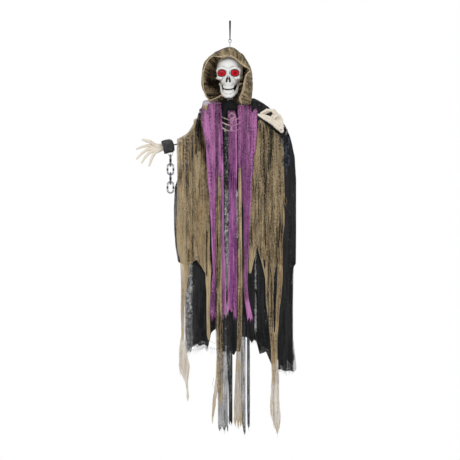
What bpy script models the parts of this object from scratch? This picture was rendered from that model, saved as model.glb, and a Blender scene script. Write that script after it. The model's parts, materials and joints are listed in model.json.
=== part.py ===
"""A hanging skeleton reaper decoration: ribbon, stem, skull, shoulders, cloth, arms, hands and chains.

The origin is the inside top of the ribbon loop. +Z is up and the figure faces -Y.
"""

import math

import bmesh
import bpy
from mathutils import Matrix, Vector
from mathutils.bvhtree import BVHTree

MM = 0.001

# Gaps shared by the whole figure
GAP = 0.3 * MM
CUT_OVERRUN = 4 * MM
CLOTH = 1.5 * MM
SEAM_STEP = CLOTH + GAP

# Ribbon loop and stem
RIBBON_WIDTH = 9 * MM
RIBBON_THICK = 1 * MM
RIBBON_LENGTH = 92 * MM
RIBBON_HEAD = 6 * MM
STEM_RADIUS = 1.5 * MM
RING_HALF_WIDTH = 6 * MM
RING_HEIGHT = 12.4 * MM
RING_CORNER = 2 * MM
NUT_RADIUS = 6 * MM
NUT_HEIGHT = 4 * MM

# Skull, about its own centre behind the nose bridge
SKULL_DROP = 245 * MM
SKULL_TURN = math.radians(-10)
SKULL_HALF_WIDTH = 64 * MM
SKULL_HALF_DEPTH = 78 * MM
SKULL_CROWN = 90 * MM
SKULL_WALL = 2.4 * MM
CRANIUM_BACK_SHIFT = 8 * MM
FACE_HALF_WIDTH = 37 * MM
FACE_HALF_HEIGHT = 62 * MM
FACE_DEPTH = 76 * MM
FACE_BASE = 78 * MM
SHELL_SPLIT = 12 * MM
SHELL_JOINT = 0.35 * MM

# Features of the face
EYE_SPACING = 62 * MM
EYE_HEIGHT = -11 * MM
EYE_HALF_WIDTH = 17 * MM
EYE_HALF_HEIGHT = 15.5 * MM
SOCKET_DEPTH = 9 * MM
BROW_RISE = 4.5 * MM
CHEEK_RISE = 13 * MM
CHEEK_HEIGHT = -34 * MM
CHEEK_SIZE = 13 * MM
TEMPLE_DEPTH = 5 * MM
NOSE_HEIGHT = -39 * MM
NOSE_HALF_HEIGHT = 15 * MM
NOSE_HALF_WIDTH = 9 * MM
NOSE_BRIDGE_RISE = 5 * MM
SEPTUM_HALF = 1.3 * MM
UPPER_TOOTH_HEIGHT = 15 * MM
LOWER_TOOTH_HEIGHT = 9 * MM
TOOTH_ROW_RADIUS = 29 * MM
TOOTH_ROW_FRONT = 69 * MM
TOOTH_THICK = 4.5 * MM
TOOTH_BULGE = 1.4 * MM
TOOTH_COUNT = 8
UPPER_TEETH_BASE = -85 * MM

# Jaw
JAW_PIN_HEIGHT = -52 * MM
JAW_PIN_BACK = 17 * MM
JAW_PIN_RADIUS = 2.5 * MM
JAW_PIN_LENGTH = 24 * MM
JAW_PIN_INNER = 30 * MM
JAW_HALF_WIDTH = 49 * MM
JAW_FRONT = 73 * MM
JAW_WALL = 5 * MM
JAW_TOP = -95 * MM
CHIN_DROP = 129 * MM
JAW_CORNER_DROP = 108 * MM
JAW_EAR = 7 * MM
LOWER_TEETH_BASE = -101 * MM

# Eyes, lamps and battery case
LENS_RIM = 9 * MM
LENS_DOME = 5 * MM
LENS_WALL = 1.6 * MM
LENS_Y = -59 * MM
LAMP_RADIUS = 2.5 * MM
LAMP_LENGTH = 8 * MM
LAMP_SOCKET_WALL = 1.4 * MM
LAMP_SOCKET_LENGTH = 5 * MM
LEAD_RADIUS = 0.8 * MM
CASE_WIDTH = 62 * MM
CASE_HEIGHT = 58 * MM
CASE_FRONT_Y = 56 * MM
CASE_BACK_Y = 85 * MM
CASE_CENTRE_Z = -2 * MM
CELL_RADIUS = 5.25 * MM
CELL_LENGTH = 44.5 * MM
CELL_BAY_DEPTH = 12 * MM
CELL_BAY_Z = -10 * MM
DOOR_THICK = 1.8 * MM
DOOR_LAP = 2.5 * MM
RAIL_WIDTH = 2.5 * MM
RAIL_LIP = 1.8 * MM
RAIL_THICK = 1.4 * MM
GRIP_RIB = 1 * MM
SWITCH_Z = 19 * MM
SWITCH_WIDTH = 6 * MM
SWITCH_HEIGHT = 4 * MM
SWITCH_TRAVEL = 4 * MM
SWITCH_DEPTH = 3 * MM
SWITCH_PROUD = 2 * MM

# Neck and shoulders
NECK_RADIUS = 9 * MM
NECK_FLANGE_RADIUS = 14 * MM
NECK_FLANGE_THICK = 3 * MM
NECK_SEAT_SLACK = 3.4 * MM
COLLAR_RADIUS = 14 * MM
COLLAR_TOP = -348 * MM
COLLAR_BOTTOM = -424 * MM
BAR_RADIUS = 8 * MM
BAR_Z = -402 * MM
BAR_HALF = 128 * MM
BAR_END_DROP = 12 * MM

# Arms
WIRE_RADIUS = 3 * MM
SLEEVE_WALL = 1.5 * MM
SLEEVE_RADIUS = 19 * MM
LEFT_ELBOW = (-240 * MM, 0.0, -582 * MM)
LEFT_WRIST = (-322 * MM, -6 * MM, -603 * MM)
RIGHT_ELBOW = (262 * MM, 0.0, -538 * MM)
RIGHT_WRIST = (240 * MM, -104 * MM, -527 * MM)
HOOK_DROP = 7 * MM
ELBOW_RING_WIRE = 2 * MM
WIRE_SOCKET = 14 * MM
SLEEVE_STOP = 13 * MM
LEFT_CUFF_RADIUS = 32 * MM
RIGHT_CUFF_RADIUS = 22 * MM

# Chains
LINK_WIRE = 5 * MM
LINK_LENGTH = 63 * MM
LINK_WIDTH = 38 * MM
LINK_COUNT = 4
TIE_RADIUS = 1.5 * MM
TIE_HALF_SPAN = 11 * MM
LEFT_CHAIN_X = -282 * MM
RIGHT_CHAIN_X = 262 * MM

# Cloth depths in front of and behind the shoulder bar
ROBE_DEPTH = 38 * MM
CLOAK_DEPTH = 47 * MM
TAN_FRONT_DEPTH = 60 * MM
PURPLE_DEPTH = 68 * MM
STRIP_DEPTH = 83 * MM
BACK_DEPTH = 52 * MM
CLOAK_BACK_DEPTH = 62 * MM
TAN_BACK_DEPTH = 74 * MM
DRAPE_RUN = 76 * MM
FOLD_RUN = 420 * MM
FOLD_PITCH = 58 * MM
FOLD_HEIGHT = 4 * MM
EDGE_WIDTH = 330 * MM
EDGE_PULL = 0.62

COLOURS = {
    "ribbon_black": ((0.01, 0.01, 0.012), 0.8, 0.0),
    "steel": ((0.55, 0.56, 0.58), 0.35, 1.0),
    "bone": ((0.80, 0.80, 0.80), 0.45, 0.0),
    "hand_ivory": ((0.74, 0.67, 0.57), 0.5, 0.0),
    "red_lens": ((0.55, 0.0, 0.01), 0.15, 0.0),
    "lamp_red": ((0.7, 0.02, 0.02), 0.2, 0.0),
    "case_black": ((0.02, 0.02, 0.02), 0.5, 0.0),
    "cell": ((0.35, 0.35, 0.36), 0.3, 0.6),
    "lead": ((0.35, 0.01, 0.01), 0.6, 0.0),
    "bar_grey": ((0.2, 0.2, 0.2), 0.6, 0.0),
    "wire": ((0.3, 0.3, 0.3), 0.4, 1.0),
    "rib_ivory": ((0.78, 0.68, 0.58), 0.5, 0.0),
    "tan_gauze": ((0.42, 0.30, 0.16), 0.95, 0.0),
    "black_cloth": ((0.012, 0.012, 0.013), 0.9, 0.0),
    "purple_gauze": ((0.24, 0.06, 0.24), 0.95, 0.0),
    "grey_gauze": ((0.06, 0.06, 0.065), 0.95, 0.0),
    "chain_plastic": ((0.03, 0.035, 0.05), 0.35, 0.2),
}

MODEL = "hanging_reaper"
CUTTERS = "cutters"


def start_scene():
    for old in list(bpy.data.objects):
        bpy.data.objects.remove(old, do_unlink=True)
    for name in (MODEL, CUTTERS):
        group = bpy.data.collections.new(name)
        bpy.context.scene.collection.children.link(group)


def material(name):
    found = bpy.data.materials.get(name)
    if found:
        return found
    colour, roughness, metallic = COLOURS[name]
    made = bpy.data.materials.new(name)
    made.use_nodes = True
    shader = made.node_tree.nodes["Principled BSDF"]
    shader.inputs["Base Color"].default_value = (*colour, 1.0)
    shader.inputs["Roughness"].default_value = roughness
    shader.inputs["Metallic"].default_value = metallic
    made.diffuse_color = (*colour, 1.0)
    return made


def add_object(name, data, surface=None):
    obj = bpy.data.objects.new(name, data)
    if surface is None:
        bpy.data.collections[CUTTERS].objects.link(obj)
        obj.hide_render = True
        obj.display_type = "WIRE"
        return obj
    data.materials.append(material(surface))
    bpy.data.collections[MODEL].objects.link(obj)
    return obj


def finish_mesh(name, bm, surface=None, smooth=True):
    bmesh.ops.recalc_face_normals(bm, faces=bm.faces)
    data = bpy.data.meshes.new(name)
    bm.to_mesh(data)
    bm.free()
    if smooth:
        data.shade_smooth()
        data.set_sharp_from_angle(angle=math.radians(50))
    return add_object(name, data, surface)


def box(name, low, high, surface=None):
    bm = bmesh.new()
    bmesh.ops.create_cube(bm, size=1)
    size = [b - a for a, b in zip(low, high)]
    middle = [(a + b) / 2 for a, b in zip(low, high)]
    bmesh.ops.scale(bm, vec=size, verts=bm.verts)
    bmesh.ops.translate(bm, vec=middle, verts=bm.verts)
    return finish_mesh(name, bm, surface, smooth=False)


def cylinder(name, centre, axis, radius, length, surface=None, sides=24, squash_share=1.0):
    """A cylinder about an axis letter; squash_share narrows it along its second direction."""
    bm = bmesh.new()
    ends = {"radius1": radius, "radius2": radius}
    bmesh.ops.create_cone(bm, cap_ends=True, segments=sides, depth=length, **ends)
    bmesh.ops.scale(bm, vec=(1, squash_share, 1), verts=bm.verts)
    quarter = math.pi / 2
    turns = {"X": Matrix.Rotation(quarter, 4, "Y"), "Y": Matrix.Rotation(quarter, 4, "X"), "Z": Matrix()}
    bmesh.ops.transform(bm, matrix=turns[axis], verts=bm.verts)
    bmesh.ops.translate(bm, vec=centre, verts=bm.verts)
    return finish_mesh(name, bm, surface)


def turned(name, profile, surface=None, steps=24):
    """A profile of (radius, height) from the top down the outside, turned about Z."""
    bm = bmesh.new()
    corners = [bm.verts.new((r, 0, h)) for r, h in profile]
    for a, b in zip(corners, corners[1:]):
        bm.edges.new((a, b))
    data = bpy.data.meshes.new(name)
    bm.to_mesh(data)
    bm.free()
    obj = add_object(name, data, surface)
    screw = obj.modifiers.new("turn", "SCREW")
    screw.steps = steps
    screw.render_steps = steps
    screw.use_merge_vertices = True
    screw.merge_threshold = 0.01 * MM
    screw.use_smooth_shade = True
    return obj


def tube(name, points, radius, surface=None, radii_shares=None, resolution=2, closed=False):
    curve = bpy.data.curves.new(name, "CURVE")
    curve.dimensions = "3D"
    curve.bevel_depth = radius
    curve.bevel_resolution = resolution
    curve.use_fill_caps = True
    spline = curve.splines.new("POLY")
    spline.points.add(len(points) - 1)
    for i, place in enumerate(points):
        spline.points[i].co = (*place, 1)
        spline.points[i].radius = radii_shares[i] if radii_shares else 1
    spline.use_cyclic_u = closed
    return add_object(name, curve, surface)


def as_mesh(obj):
    """The same object as a welded mesh, so that it can be cut or joined."""
    depsgraph = bpy.context.evaluated_depsgraph_get()
    data = bpy.data.meshes.new_from_object(obj.evaluated_get(depsgraph))
    bm = bmesh.new()
    bm.from_mesh(data)
    bmesh.ops.remove_doubles(bm, verts=bm.verts, dist=0.01 * MM)
    bmesh.ops.triangulate(bm, faces=bm.faces)
    bmesh.ops.recalc_face_normals(bm, faces=bm.faces)
    bm.to_mesh(data)
    bm.free()
    name = obj.name
    made = bpy.data.objects.new(name, data)
    made.matrix_world = obj.matrix_world
    for group in obj.users_collection:
        group.objects.link(made)
    made.hide_render = obj.hide_render
    made.display_type = obj.display_type
    bpy.data.objects.remove(obj, do_unlink=True)
    made.name = name
    return made


def combine(obj, other, operation="DIFFERENCE"):
    change = obj.modifiers.new(other.name, "BOOLEAN")
    change.operation = operation
    change.solver = "EXACT"
    change.object = other
    return obj


def sheet(name, columns, rows, place, surface, thick=CLOTH, seam=None, offset=0.0):
    """A grid moved onto a surface by place(u, v), then closed by its thickness."""
    bm = bmesh.new()
    bmesh.ops.create_grid(bm, x_segments=columns, y_segments=rows, size=1)
    for vert in bm.verts:
        u = (vert.co.x + 1) / 2
        v = (1 - vert.co.y) / 2
        vert.co = place(u, v)
    if seam is not None:
        bmesh.ops.remove_doubles(bm, verts=bm.verts, dist=0.01 * MM)
    data = bpy.data.meshes.new(name)
    bm.to_mesh(data)
    bm.free()
    data.shade_smooth()
    obj = add_object(name, data, surface)
    wall = obj.modifiers.new("thickness", "SOLIDIFY")
    wall.thickness = thick
    wall.offset = offset
    return obj


def mix(a, b, share):
    return a + (b - a) * share


def clamp(share):
    return min(1.0, max(0.0, share))


def ease(share):
    share = clamp(share)
    return share * share * (3 - 2 * share)


def along(points, share):
    """The place at a share of a chain of points, evenly by their number."""
    reach = clamp(share) * (len(points) - 1)
    i = min(int(reach), len(points) - 2)
    return Vector(points[i]).lerp(Vector(points[i + 1]), reach - i)


def smooth_route(points, count):
    """Evenly numbered places on a smooth curve through the given points."""
    ends = [points[0], *points, points[-1]]
    route = []
    for n in range(count):
        reach = n / (count - 1) * (len(points) - 1)
        i = min(int(reach), len(points) - 2)
        t = reach - i
        p0, p1, p2, p3 = (Vector(p) for p in ends[i : i + 4])
        curve = (2 * p0 - 5 * p1 + 4 * p2 - p3) * t**2 + (3 * p1 - p0 - 3 * p2 + p3) * t**3
        route.append((2 * p1 + (p2 - p0) * t + curve) / 2)
    return route


# Ribbon and stem

SKULL_BASE_Z = -SKULL_DROP + SKULL_CROWN - SKULL_HALF_DEPTH * 2
NECK_TOP = SKULL_BASE_Z + SKULL_WALL + NECK_SEAT_SLACK + NECK_FLANGE_THICK
PIVOT_Z = -(RIBBON_LENGTH - RIBBON_THICK - GAP - STEM_RADIUS)
RIBBON_FOOT = STEM_RADIUS + GAP
EYE_SQUEEZE = 0.55


def make_ribbon():
    """One ribbon sewn into a narrow loop, wider at the head, gathered where it passes the eye."""
    bm = bmesh.new()
    bmesh.ops.create_cone(bm, cap_ends=False, segments=28, radius1=1, radius2=1, depth=1)
    head_z = -RIBBON_HEAD
    for vert in bm.verts:
        angle = math.atan2(vert.co.y, vert.co.x)
        upper = math.sin(angle) >= 0
        radius = RIBBON_HEAD if upper else RIBBON_FOOT
        centre = head_z if upper else PIVOT_Z
        width = RIBBON_WIDTH if upper else RIBBON_WIDTH * EYE_SQUEEZE
        wall = RIBBON_THICK / 2
        vert.co = Vector(
            (vert.co.z * width, (radius + wall) * math.cos(angle), centre + (radius + wall) * math.sin(angle))
        )
    data = bpy.data.meshes.new("hanging_loop")
    bm.to_mesh(data)
    bm.free()
    data.shade_smooth()
    obj = add_object("hanging_loop", data, "ribbon_black")
    wall = obj.modifiers.new("thickness", "SOLIDIFY")
    wall.thickness = RIBBON_THICK
    wall.offset = 0


CROWN_Z = -SKULL_DROP + SKULL_CROWN
STEM_FOOT = CROWN_Z - SKULL_WALL - NUT_HEIGHT * 2


def make_stem():
    """A ring bent from wire on a straight shank with a collar that rests on the crown."""
    wide, slim = RING_HALF_WIDTH, RING_HALF_WIDTH - RING_CORNER
    low = RING_HEIGHT
    corners = [(slim, 0), (wide, RING_CORNER), (wide, low - RING_CORNER), (slim, low)]
    corners += [(-x, down) for x, down in reversed(corners)]
    ring = [(x, 0, PIVOT_Z - down) for x, down in corners]
    eye = as_mesh(tube("eye_ring", ring, STEM_RADIUS, None, closed=True))
    shank_top = PIVOT_Z - RING_HEIGHT
    collar_z = CROWN_Z + GAP
    profile = [
        (0, shank_top),
        (STEM_RADIUS, shank_top),
        (STEM_RADIUS, collar_z + STEM_RADIUS),
        (NUT_RADIUS, collar_z + STEM_RADIUS),
        (NUT_RADIUS, collar_z),
        (STEM_RADIUS, collar_z),
        (STEM_RADIUS, STEM_FOOT),
        (0, STEM_FOOT),
    ]
    stem = turned("eye_stem", profile, "steel", steps=16)
    combine(stem, eye, "UNION")


CROWN_SLACK = 1.8 * MM


def make_nut():
    low = CROWN_Z - SKULL_WALL - CROWN_SLACK - NUT_HEIGHT
    nut = cylinder("crown_nut", (0, 0, low + NUT_HEIGHT / 2), "Z", NUT_RADIUS, NUT_HEIGHT, "steel", sides=6)
    bore = cylinder("nut_bore", (0, 0, low), "Z", STEM_RADIUS + GAP, NUT_HEIGHT * 3, sides=16)
    combine(nut, bore)


# Skull

FACE_COLUMN_COUNT = 28
FACE_ROW_COUNT = 20
BACK_COLUMN_COUNT = 22
BACK_ROW_COUNT = 12
FACE_CROWDING_SHARE = 0.36


def ellipsoid_reach(direction, centre, radii):
    """How far a ray from the origin runs before it leaves the ellipsoid, or zero."""
    a = sum((d / r) ** 2 for d, r in zip(direction, radii))
    b = -2 * sum(d * c / r**2 for d, c, r in zip(direction, centre, radii))
    c = sum((p / r) ** 2 for p, r in zip(centre, radii)) - 1
    root = b * b - 4 * a * c
    if root < 0:
        return 0.0
    return max(0.0, (-b + math.sqrt(root)) / (2 * a))


def bump(x, z, at_x, at_z, size_x, size_z):
    return math.exp(-(((x - at_x) / size_x) ** 2) - (((z - at_z) / size_z) ** 2))


def skull_point(direction):
    """The bone surface along a direction from the skull's centre."""
    cranium = ellipsoid_reach(
        direction,
        (0, CRANIUM_BACK_SHIFT, SKULL_CROWN - SKULL_HALF_DEPTH),
        (SKULL_HALF_WIDTH, SKULL_HALF_DEPTH, SKULL_HALF_DEPTH),
    )
    muzzle = ellipsoid_reach(
        direction,
        (0, -(FACE_DEPTH - FACE_HALF_WIDTH), -FACE_BASE / 2),
        (FACE_HALF_WIDTH, FACE_HALF_WIDTH, FACE_HALF_HEIGHT),
    )
    blend = 8
    reach = (cranium**blend + muzzle**blend) ** (1 / blend)
    if direction.z * reach < -FACE_BASE:
        reach = -FACE_BASE / direction.z
    point = direction * reach
    x, y, z = point
    front = ease(-direction.y * 2)
    side = abs(x)
    half_eye = EYE_SPACING / 2
    brow_z = EYE_HEIGHT + EYE_HALF_HEIGHT * 1.5
    bridge_z = EYE_HEIGHT - EYE_HALF_HEIGHT / 2
    rise = BROW_RISE * bump(side, z, half_eye, brow_z, EYE_HALF_WIDTH * 1.3, EYE_HALF_HEIGHT / 2)
    rise -= SOCKET_DEPTH * bump(side, z, half_eye, EYE_HEIGHT, EYE_HALF_WIDTH, EYE_HALF_HEIGHT)
    rise += NOSE_BRIDGE_RISE * bump(side, z, 0, bridge_z, NOSE_HALF_WIDTH, EYE_HALF_HEIGHT)
    rise *= front
    cheek = bump(side, z, SKULL_HALF_WIDTH * 0.78, CHEEK_HEIGHT, CHEEK_SIZE, CHEEK_SIZE * 0.8)
    cheek *= CHEEK_RISE * ease(-direction.y * 1.6 + 0.35)
    hollow_size = (SKULL_HALF_DEPTH / 4, SKULL_CROWN / 4)
    temple = TEMPLE_DEPTH * bump(y, z, -SKULL_HALF_DEPTH / 2, SKULL_CROWN / 5, *hollow_size)
    temple *= ease(side / SKULL_HALF_WIDTH * 2 - 0.8)
    return point + direction * (rise + cheek - temple)


def skull_bmesh(columns, rows, crowding_share):
    bm = bmesh.new()
    bmesh.ops.create_uvsphere(bm, u_segments=columns, v_segments=rows, radius=1)
    for vert in bm.verts:
        # Columns of the front shell crowd towards the face, where the detail is
        angle = math.atan2(vert.co.x, -vert.co.y)
        flat = math.hypot(vert.co.x, vert.co.y)
        angle -= crowding_share * math.sin(angle)
        direction = Vector((flat * math.sin(angle), -flat * math.cos(angle), vert.co.z))
        vert.co = skull_point(direction.normalized())
    return bm


def place_on_skull(obj):
    obj.matrix_world = Matrix.Translation((0, 0, -SKULL_DROP)) @ Matrix.Rotation(SKULL_TURN, 4, "Z")
    return obj


def skull_shell(name, keep_front):
    if keep_front:
        bm = skull_bmesh(FACE_COLUMN_COUNT, FACE_ROW_COUNT, FACE_CROWDING_SHARE)
    else:
        bm = skull_bmesh(BACK_COLUMN_COUNT, BACK_ROW_COUNT, 0)
    plane_y = SHELL_SPLIT + (-SHELL_JOINT if keep_front else SHELL_JOINT)
    bmesh.ops.bisect_plane(
        bm,
        geom=bm.verts[:] + bm.edges[:] + bm.faces[:],
        dist=0.001 * MM,
        plane_co=(0, plane_y, 0),
        plane_no=(0, 1 if keep_front else -1, 0),
        clear_outer=True,
    )
    data = bpy.data.meshes.new(name)
    bm.to_mesh(data)
    bm.free()
    data.shade_smooth()
    obj = add_object(name, data, "bone")
    wall = obj.modifiers.new("wall", "SOLIDIFY")
    wall.thickness = SKULL_WALL
    wall.offset = -1
    return place_on_skull(obj)


def tooth_row(name, base, height):
    """A curved band whose front swells once for each tooth."""
    per_tooth = 2
    sweep_share = 0.62

    def place(u, v):
        angle = (u - 0.5) * math.pi * sweep_share
        swell = TOOTH_BULGE * abs(math.sin(math.pi * u * TOOTH_COUNT))
        reach = TOOTH_ROW_RADIUS + swell
        centre_y = -(TOOTH_ROW_FRONT - TOOTH_ROW_RADIUS)
        return Vector((reach * math.sin(angle), centre_y - reach * math.cos(angle), base + height * (1 - v)))

    return place_on_skull(sheet(name, TOOTH_COUNT * per_tooth, 1, place, None, TOOTH_THICK))


def make_skull_face():
    face = skull_shell("skull_face", keep_front=True)
    teeth = tooth_row("upper_teeth", UPPER_TEETH_BASE, UPPER_TOOTH_HEIGHT)
    combine(face, teeth, "UNION")
    pin_holes = []
    for side, tag in ((-1, "left"), (1, "right")):
        eye = cylinder(
            "eye_hole_" + tag,
            (side * EYE_SPACING / 2, -FACE_DEPTH / 2, EYE_HEIGHT),
            "Y",
            EYE_HALF_WIDTH,
            FACE_DEPTH,
            sides=20,
        )
        combine(face, place_on_skull(eye))
        edges = sorted((side * SEPTUM_HALF, side * NOSE_HALF_WIDTH))
        nostril = box(
            "nostril_" + tag,
            (edges[0], -FACE_DEPTH * 1.3, NOSE_HEIGHT - NOSE_HALF_HEIGHT),
            (edges[1], -FACE_DEPTH / 2, NOSE_HEIGHT + NOSE_HALF_HEIGHT),
        )
        for vert in nostril.data.vertices:
            if vert.co.z > NOSE_HEIGHT:
                vert.co.x = side * SEPTUM_HALF + (vert.co.x - side * SEPTUM_HALF) / 3
        soften = nostril.modifiers.new("round", "BEVEL")
        soften.width = SEPTUM_HALF
        soften.segments = 2
        combine(face, place_on_skull(nostril))
        pin_hole = cylinder(
            "pin_hole_" + tag,
            (side * (JAW_PIN_INNER + JAW_PIN_LENGTH / 2), JAW_PIN_BACK, JAW_PIN_HEIGHT),
            "X",
            JAW_PIN_RADIUS + GAP,
            JAW_PIN_LENGTH * 1.4,
            sides=16,
        )
        place_on_skull(pin_hole)
        pin_holes.append(pin_hole)
    crown_hole = cylinder("crown_hole", (0, 0, CROWN_Z), "Z", STEM_RADIUS + GAP, SKULL_WALL * 8, sides=16)
    combine(face, crown_hole)
    neck_hole_z = NECK_TOP - NECK_FLANGE_THICK - SKULL_WALL * 4
    neck_hole = cylinder("neck_hole", (0, 0, neck_hole_z), "Z", NECK_RADIUS + GAP, SKULL_WALL * 10)
    combine(face, neck_hole)
    return pin_holes


def make_skull_back(pin_holes):
    back = skull_shell("skull_back", keep_front=False)
    hole = box(
        "case_hole",
        (-CASE_WIDTH / 2 - GAP, CASE_FRONT_Y - CUT_OVERRUN * 3, CASE_CENTRE_Z - CASE_HEIGHT / 2 - GAP),
        (CASE_WIDTH / 2 + GAP, CASE_BACK_Y * 1.3, CASE_CENTRE_Z + CASE_HEIGHT / 2 + GAP),
    )
    combine(back, place_on_skull(hole))
    for pin_hole in pin_holes:
        combine(back, pin_hole)


def make_jaw(pin_holes):
    """A horseshoe with a chin and two rising arms that turn on the cheek pins."""
    columns = 20
    rows = 3

    def place(u, v):
        angle = (u - 0.5) * 2
        arm = ease((abs(angle) - 0.62) / 0.38)
        bend = min(1.0, abs(angle) / 0.72)
        sweep = math.copysign(bend, angle) * math.pi / 2
        x = JAW_HALF_WIDTH * math.sin(sweep)
        run = max(0.0, abs(angle) - 0.72) / 0.28
        front_y = -JAW_FRONT + JAW_WALL
        arc_y = front_y * 0.40
        y = mix(arc_y + (front_y - arc_y) * math.cos(sweep), JAW_PIN_BACK, ease(run))
        top = mix(JAW_TOP, JAW_PIN_HEIGHT + JAW_EAR, arm)
        low_front = mix(-CHIN_DROP, -JAW_CORNER_DROP, ease(abs(angle) / 0.75))
        low = mix(low_front, JAW_PIN_HEIGHT - JAW_EAR, ease((abs(angle) - 0.8) / 0.2))
        taper = 1 - 0.16 * v * (1 - arm)
        return Vector((x * taper, y * (1 - 0.02 * v), mix(top, low, v)))

    jaw = sheet("jaw", columns, rows, place, "bone", JAW_WALL)
    place_on_skull(jaw)
    combine(jaw, tooth_row("lower_teeth", LOWER_TEETH_BASE, LOWER_TOOTH_HEIGHT), "UNION")
    for pin_hole in pin_holes:
        combine(jaw, pin_hole)


def make_jaw_pins():
    for side, tag in ((-1, "left"), (1, "right")):
        pin = cylinder(
            "jaw_pin_" + tag,
            (side * (JAW_PIN_INNER + JAW_PIN_LENGTH / 2), JAW_PIN_BACK, JAW_PIN_HEIGHT),
            "X",
            JAW_PIN_RADIUS,
            JAW_PIN_LENGTH,
            "bone",
            sides=16,
        )
        place_on_skull(pin)


def make_eyes():
    """Red domes with a skirt and, inside, a socket that holds the lamp."""
    for side, tag in ((-1, "left"), (1, "right")):
        rim = EYE_HALF_WIDTH - GAP
        profile = [
            (0, LENS_DOME),
            (rim * 0.5, LENS_DOME * 0.8),
            (rim * 0.85, LENS_DOME * 0.35),
            (rim, 0),
            (rim, -LENS_RIM),
            (rim - LENS_WALL, -LENS_RIM),
            (rim - LENS_WALL, -LENS_WALL),
            (LAMP_RADIUS + GAP + LAMP_SOCKET_WALL, -LENS_WALL),
            (LAMP_RADIUS + GAP + LAMP_SOCKET_WALL, -LENS_WALL - LAMP_SOCKET_LENGTH),
            (LAMP_RADIUS + GAP, -LENS_WALL - LAMP_SOCKET_LENGTH),
            (LAMP_RADIUS + GAP, -LENS_WALL),
            (0, -LENS_WALL),
        ]
        lens = turned("eye_lens_" + tag, profile, "red_lens", steps=16)
        centre = (side * EYE_SPACING / 2, LENS_Y, EYE_HEIGHT)
        spin = Matrix.Rotation(math.pi / 2, 4, "X")
        frame = Matrix.Translation((0, 0, -SKULL_DROP)) @ Matrix.Rotation(SKULL_TURN, 4, "Z")
        lens.matrix_world = frame @ Matrix.Translation(centre) @ spin
        lamp_profile = [
            (0, 0),
            (LAMP_RADIUS * 0.7, -LAMP_RADIUS * 0.3),
            (LAMP_RADIUS, -LAMP_RADIUS),
            (LAMP_RADIUS, -LAMP_LENGTH),
            (0, -LAMP_LENGTH),
        ]
        lamp = turned("lamp_" + tag, lamp_profile, "lamp_red", steps=10)
        behind = Matrix.Translation((0, 0, -LENS_WALL - GAP))
        lamp.matrix_world = frame @ Matrix.Translation(centre) @ spin @ behind
        start = Vector((centre[0], LENS_Y + LENS_WALL + LAMP_LENGTH + GAP * 4, EYE_HEIGHT))
        end = Vector((side * CELL_RADIUS * 3, CASE_FRONT_Y - GAP, SWITCH_Z))
        straight = Vector((0, LENS_RIM, 0))
        route = smooth_route([start, start + straight, start.lerp(end, 0.6), end - straight, end], 9)
        place_on_skull(tube("lamp_lead_" + tag, route, LEAD_RADIUS, "lead", resolution=1))


# Battery case

CASE_CUTTERS = ("cell_bay", "switch_slot", "rail_")

BAY_HALF_WIDTH = CELL_LENGTH / 2 + GAP
BAY_HALF_HEIGHT = CELL_RADIUS * 2 + GAP * 3 / 2


def make_case():
    case = box(
        "battery_case",
        (-CASE_WIDTH / 2, CASE_FRONT_Y, CASE_CENTRE_Z - CASE_HEIGHT / 2),
        (CASE_WIDTH / 2, CASE_BACK_Y, CASE_CENTRE_Z + CASE_HEIGHT / 2),
        "case_black",
    )
    bay = box(
        "cell_bay",
        (-BAY_HALF_WIDTH, CASE_BACK_Y - CELL_BAY_DEPTH, CELL_BAY_Z - BAY_HALF_HEIGHT),
        (BAY_HALF_WIDTH, CASE_BACK_Y + CUT_OVERRUN, CELL_BAY_Z + BAY_HALF_HEIGHT),
    )
    slot_low = SWITCH_Z - SWITCH_HEIGHT / 2 - GAP
    slot_top = SWITCH_Z + SWITCH_HEIGHT / 2 + GAP
    slot = box(
        "switch_slot",
        (-SWITCH_WIDTH / 2 - GAP, CASE_BACK_Y - SWITCH_DEPTH - GAP, slot_low),
        (SWITCH_WIDTH / 2 + SWITCH_TRAVEL + GAP, CASE_BACK_Y + CUT_OVERRUN, slot_top),
    )
    combine(case, bay)
    combine(case, slot)
    door_half = BAY_HALF_WIDTH + DOOR_LAP
    top = CELL_BAY_Z + BAY_HALF_HEIGHT + DOOR_LAP
    low = CASE_CENTRE_Z - CASE_HEIGHT / 2
    for side in (-1, 1):
        inner = side * (door_half + GAP)
        outer = side * (door_half + GAP + RAIL_WIDTH)
        lip = side * (door_half - RAIL_LIP)
        plate_top = CASE_BACK_Y + DOOR_THICK + GAP * 2
        rail = box(
            "rail_%d" % side,
            (min(inner, outer), CASE_BACK_Y - RAIL_THICK, low),
            (max(inner, outer), plate_top + RAIL_THICK, top),
        )
        over = box(
            "rail_lip_%d" % side,
            (min(lip, outer), plate_top, low),
            (max(lip, outer), plate_top + RAIL_THICK, top),
        )
        combine(case, rail, "UNION")
        combine(case, over, "UNION")
    cutters = bpy.data.collections[CUTTERS].objects
    for obj in [case, *[o for o in cutters if o.name.startswith(CASE_CUTTERS)]]:
        place_on_skull(obj)


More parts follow.
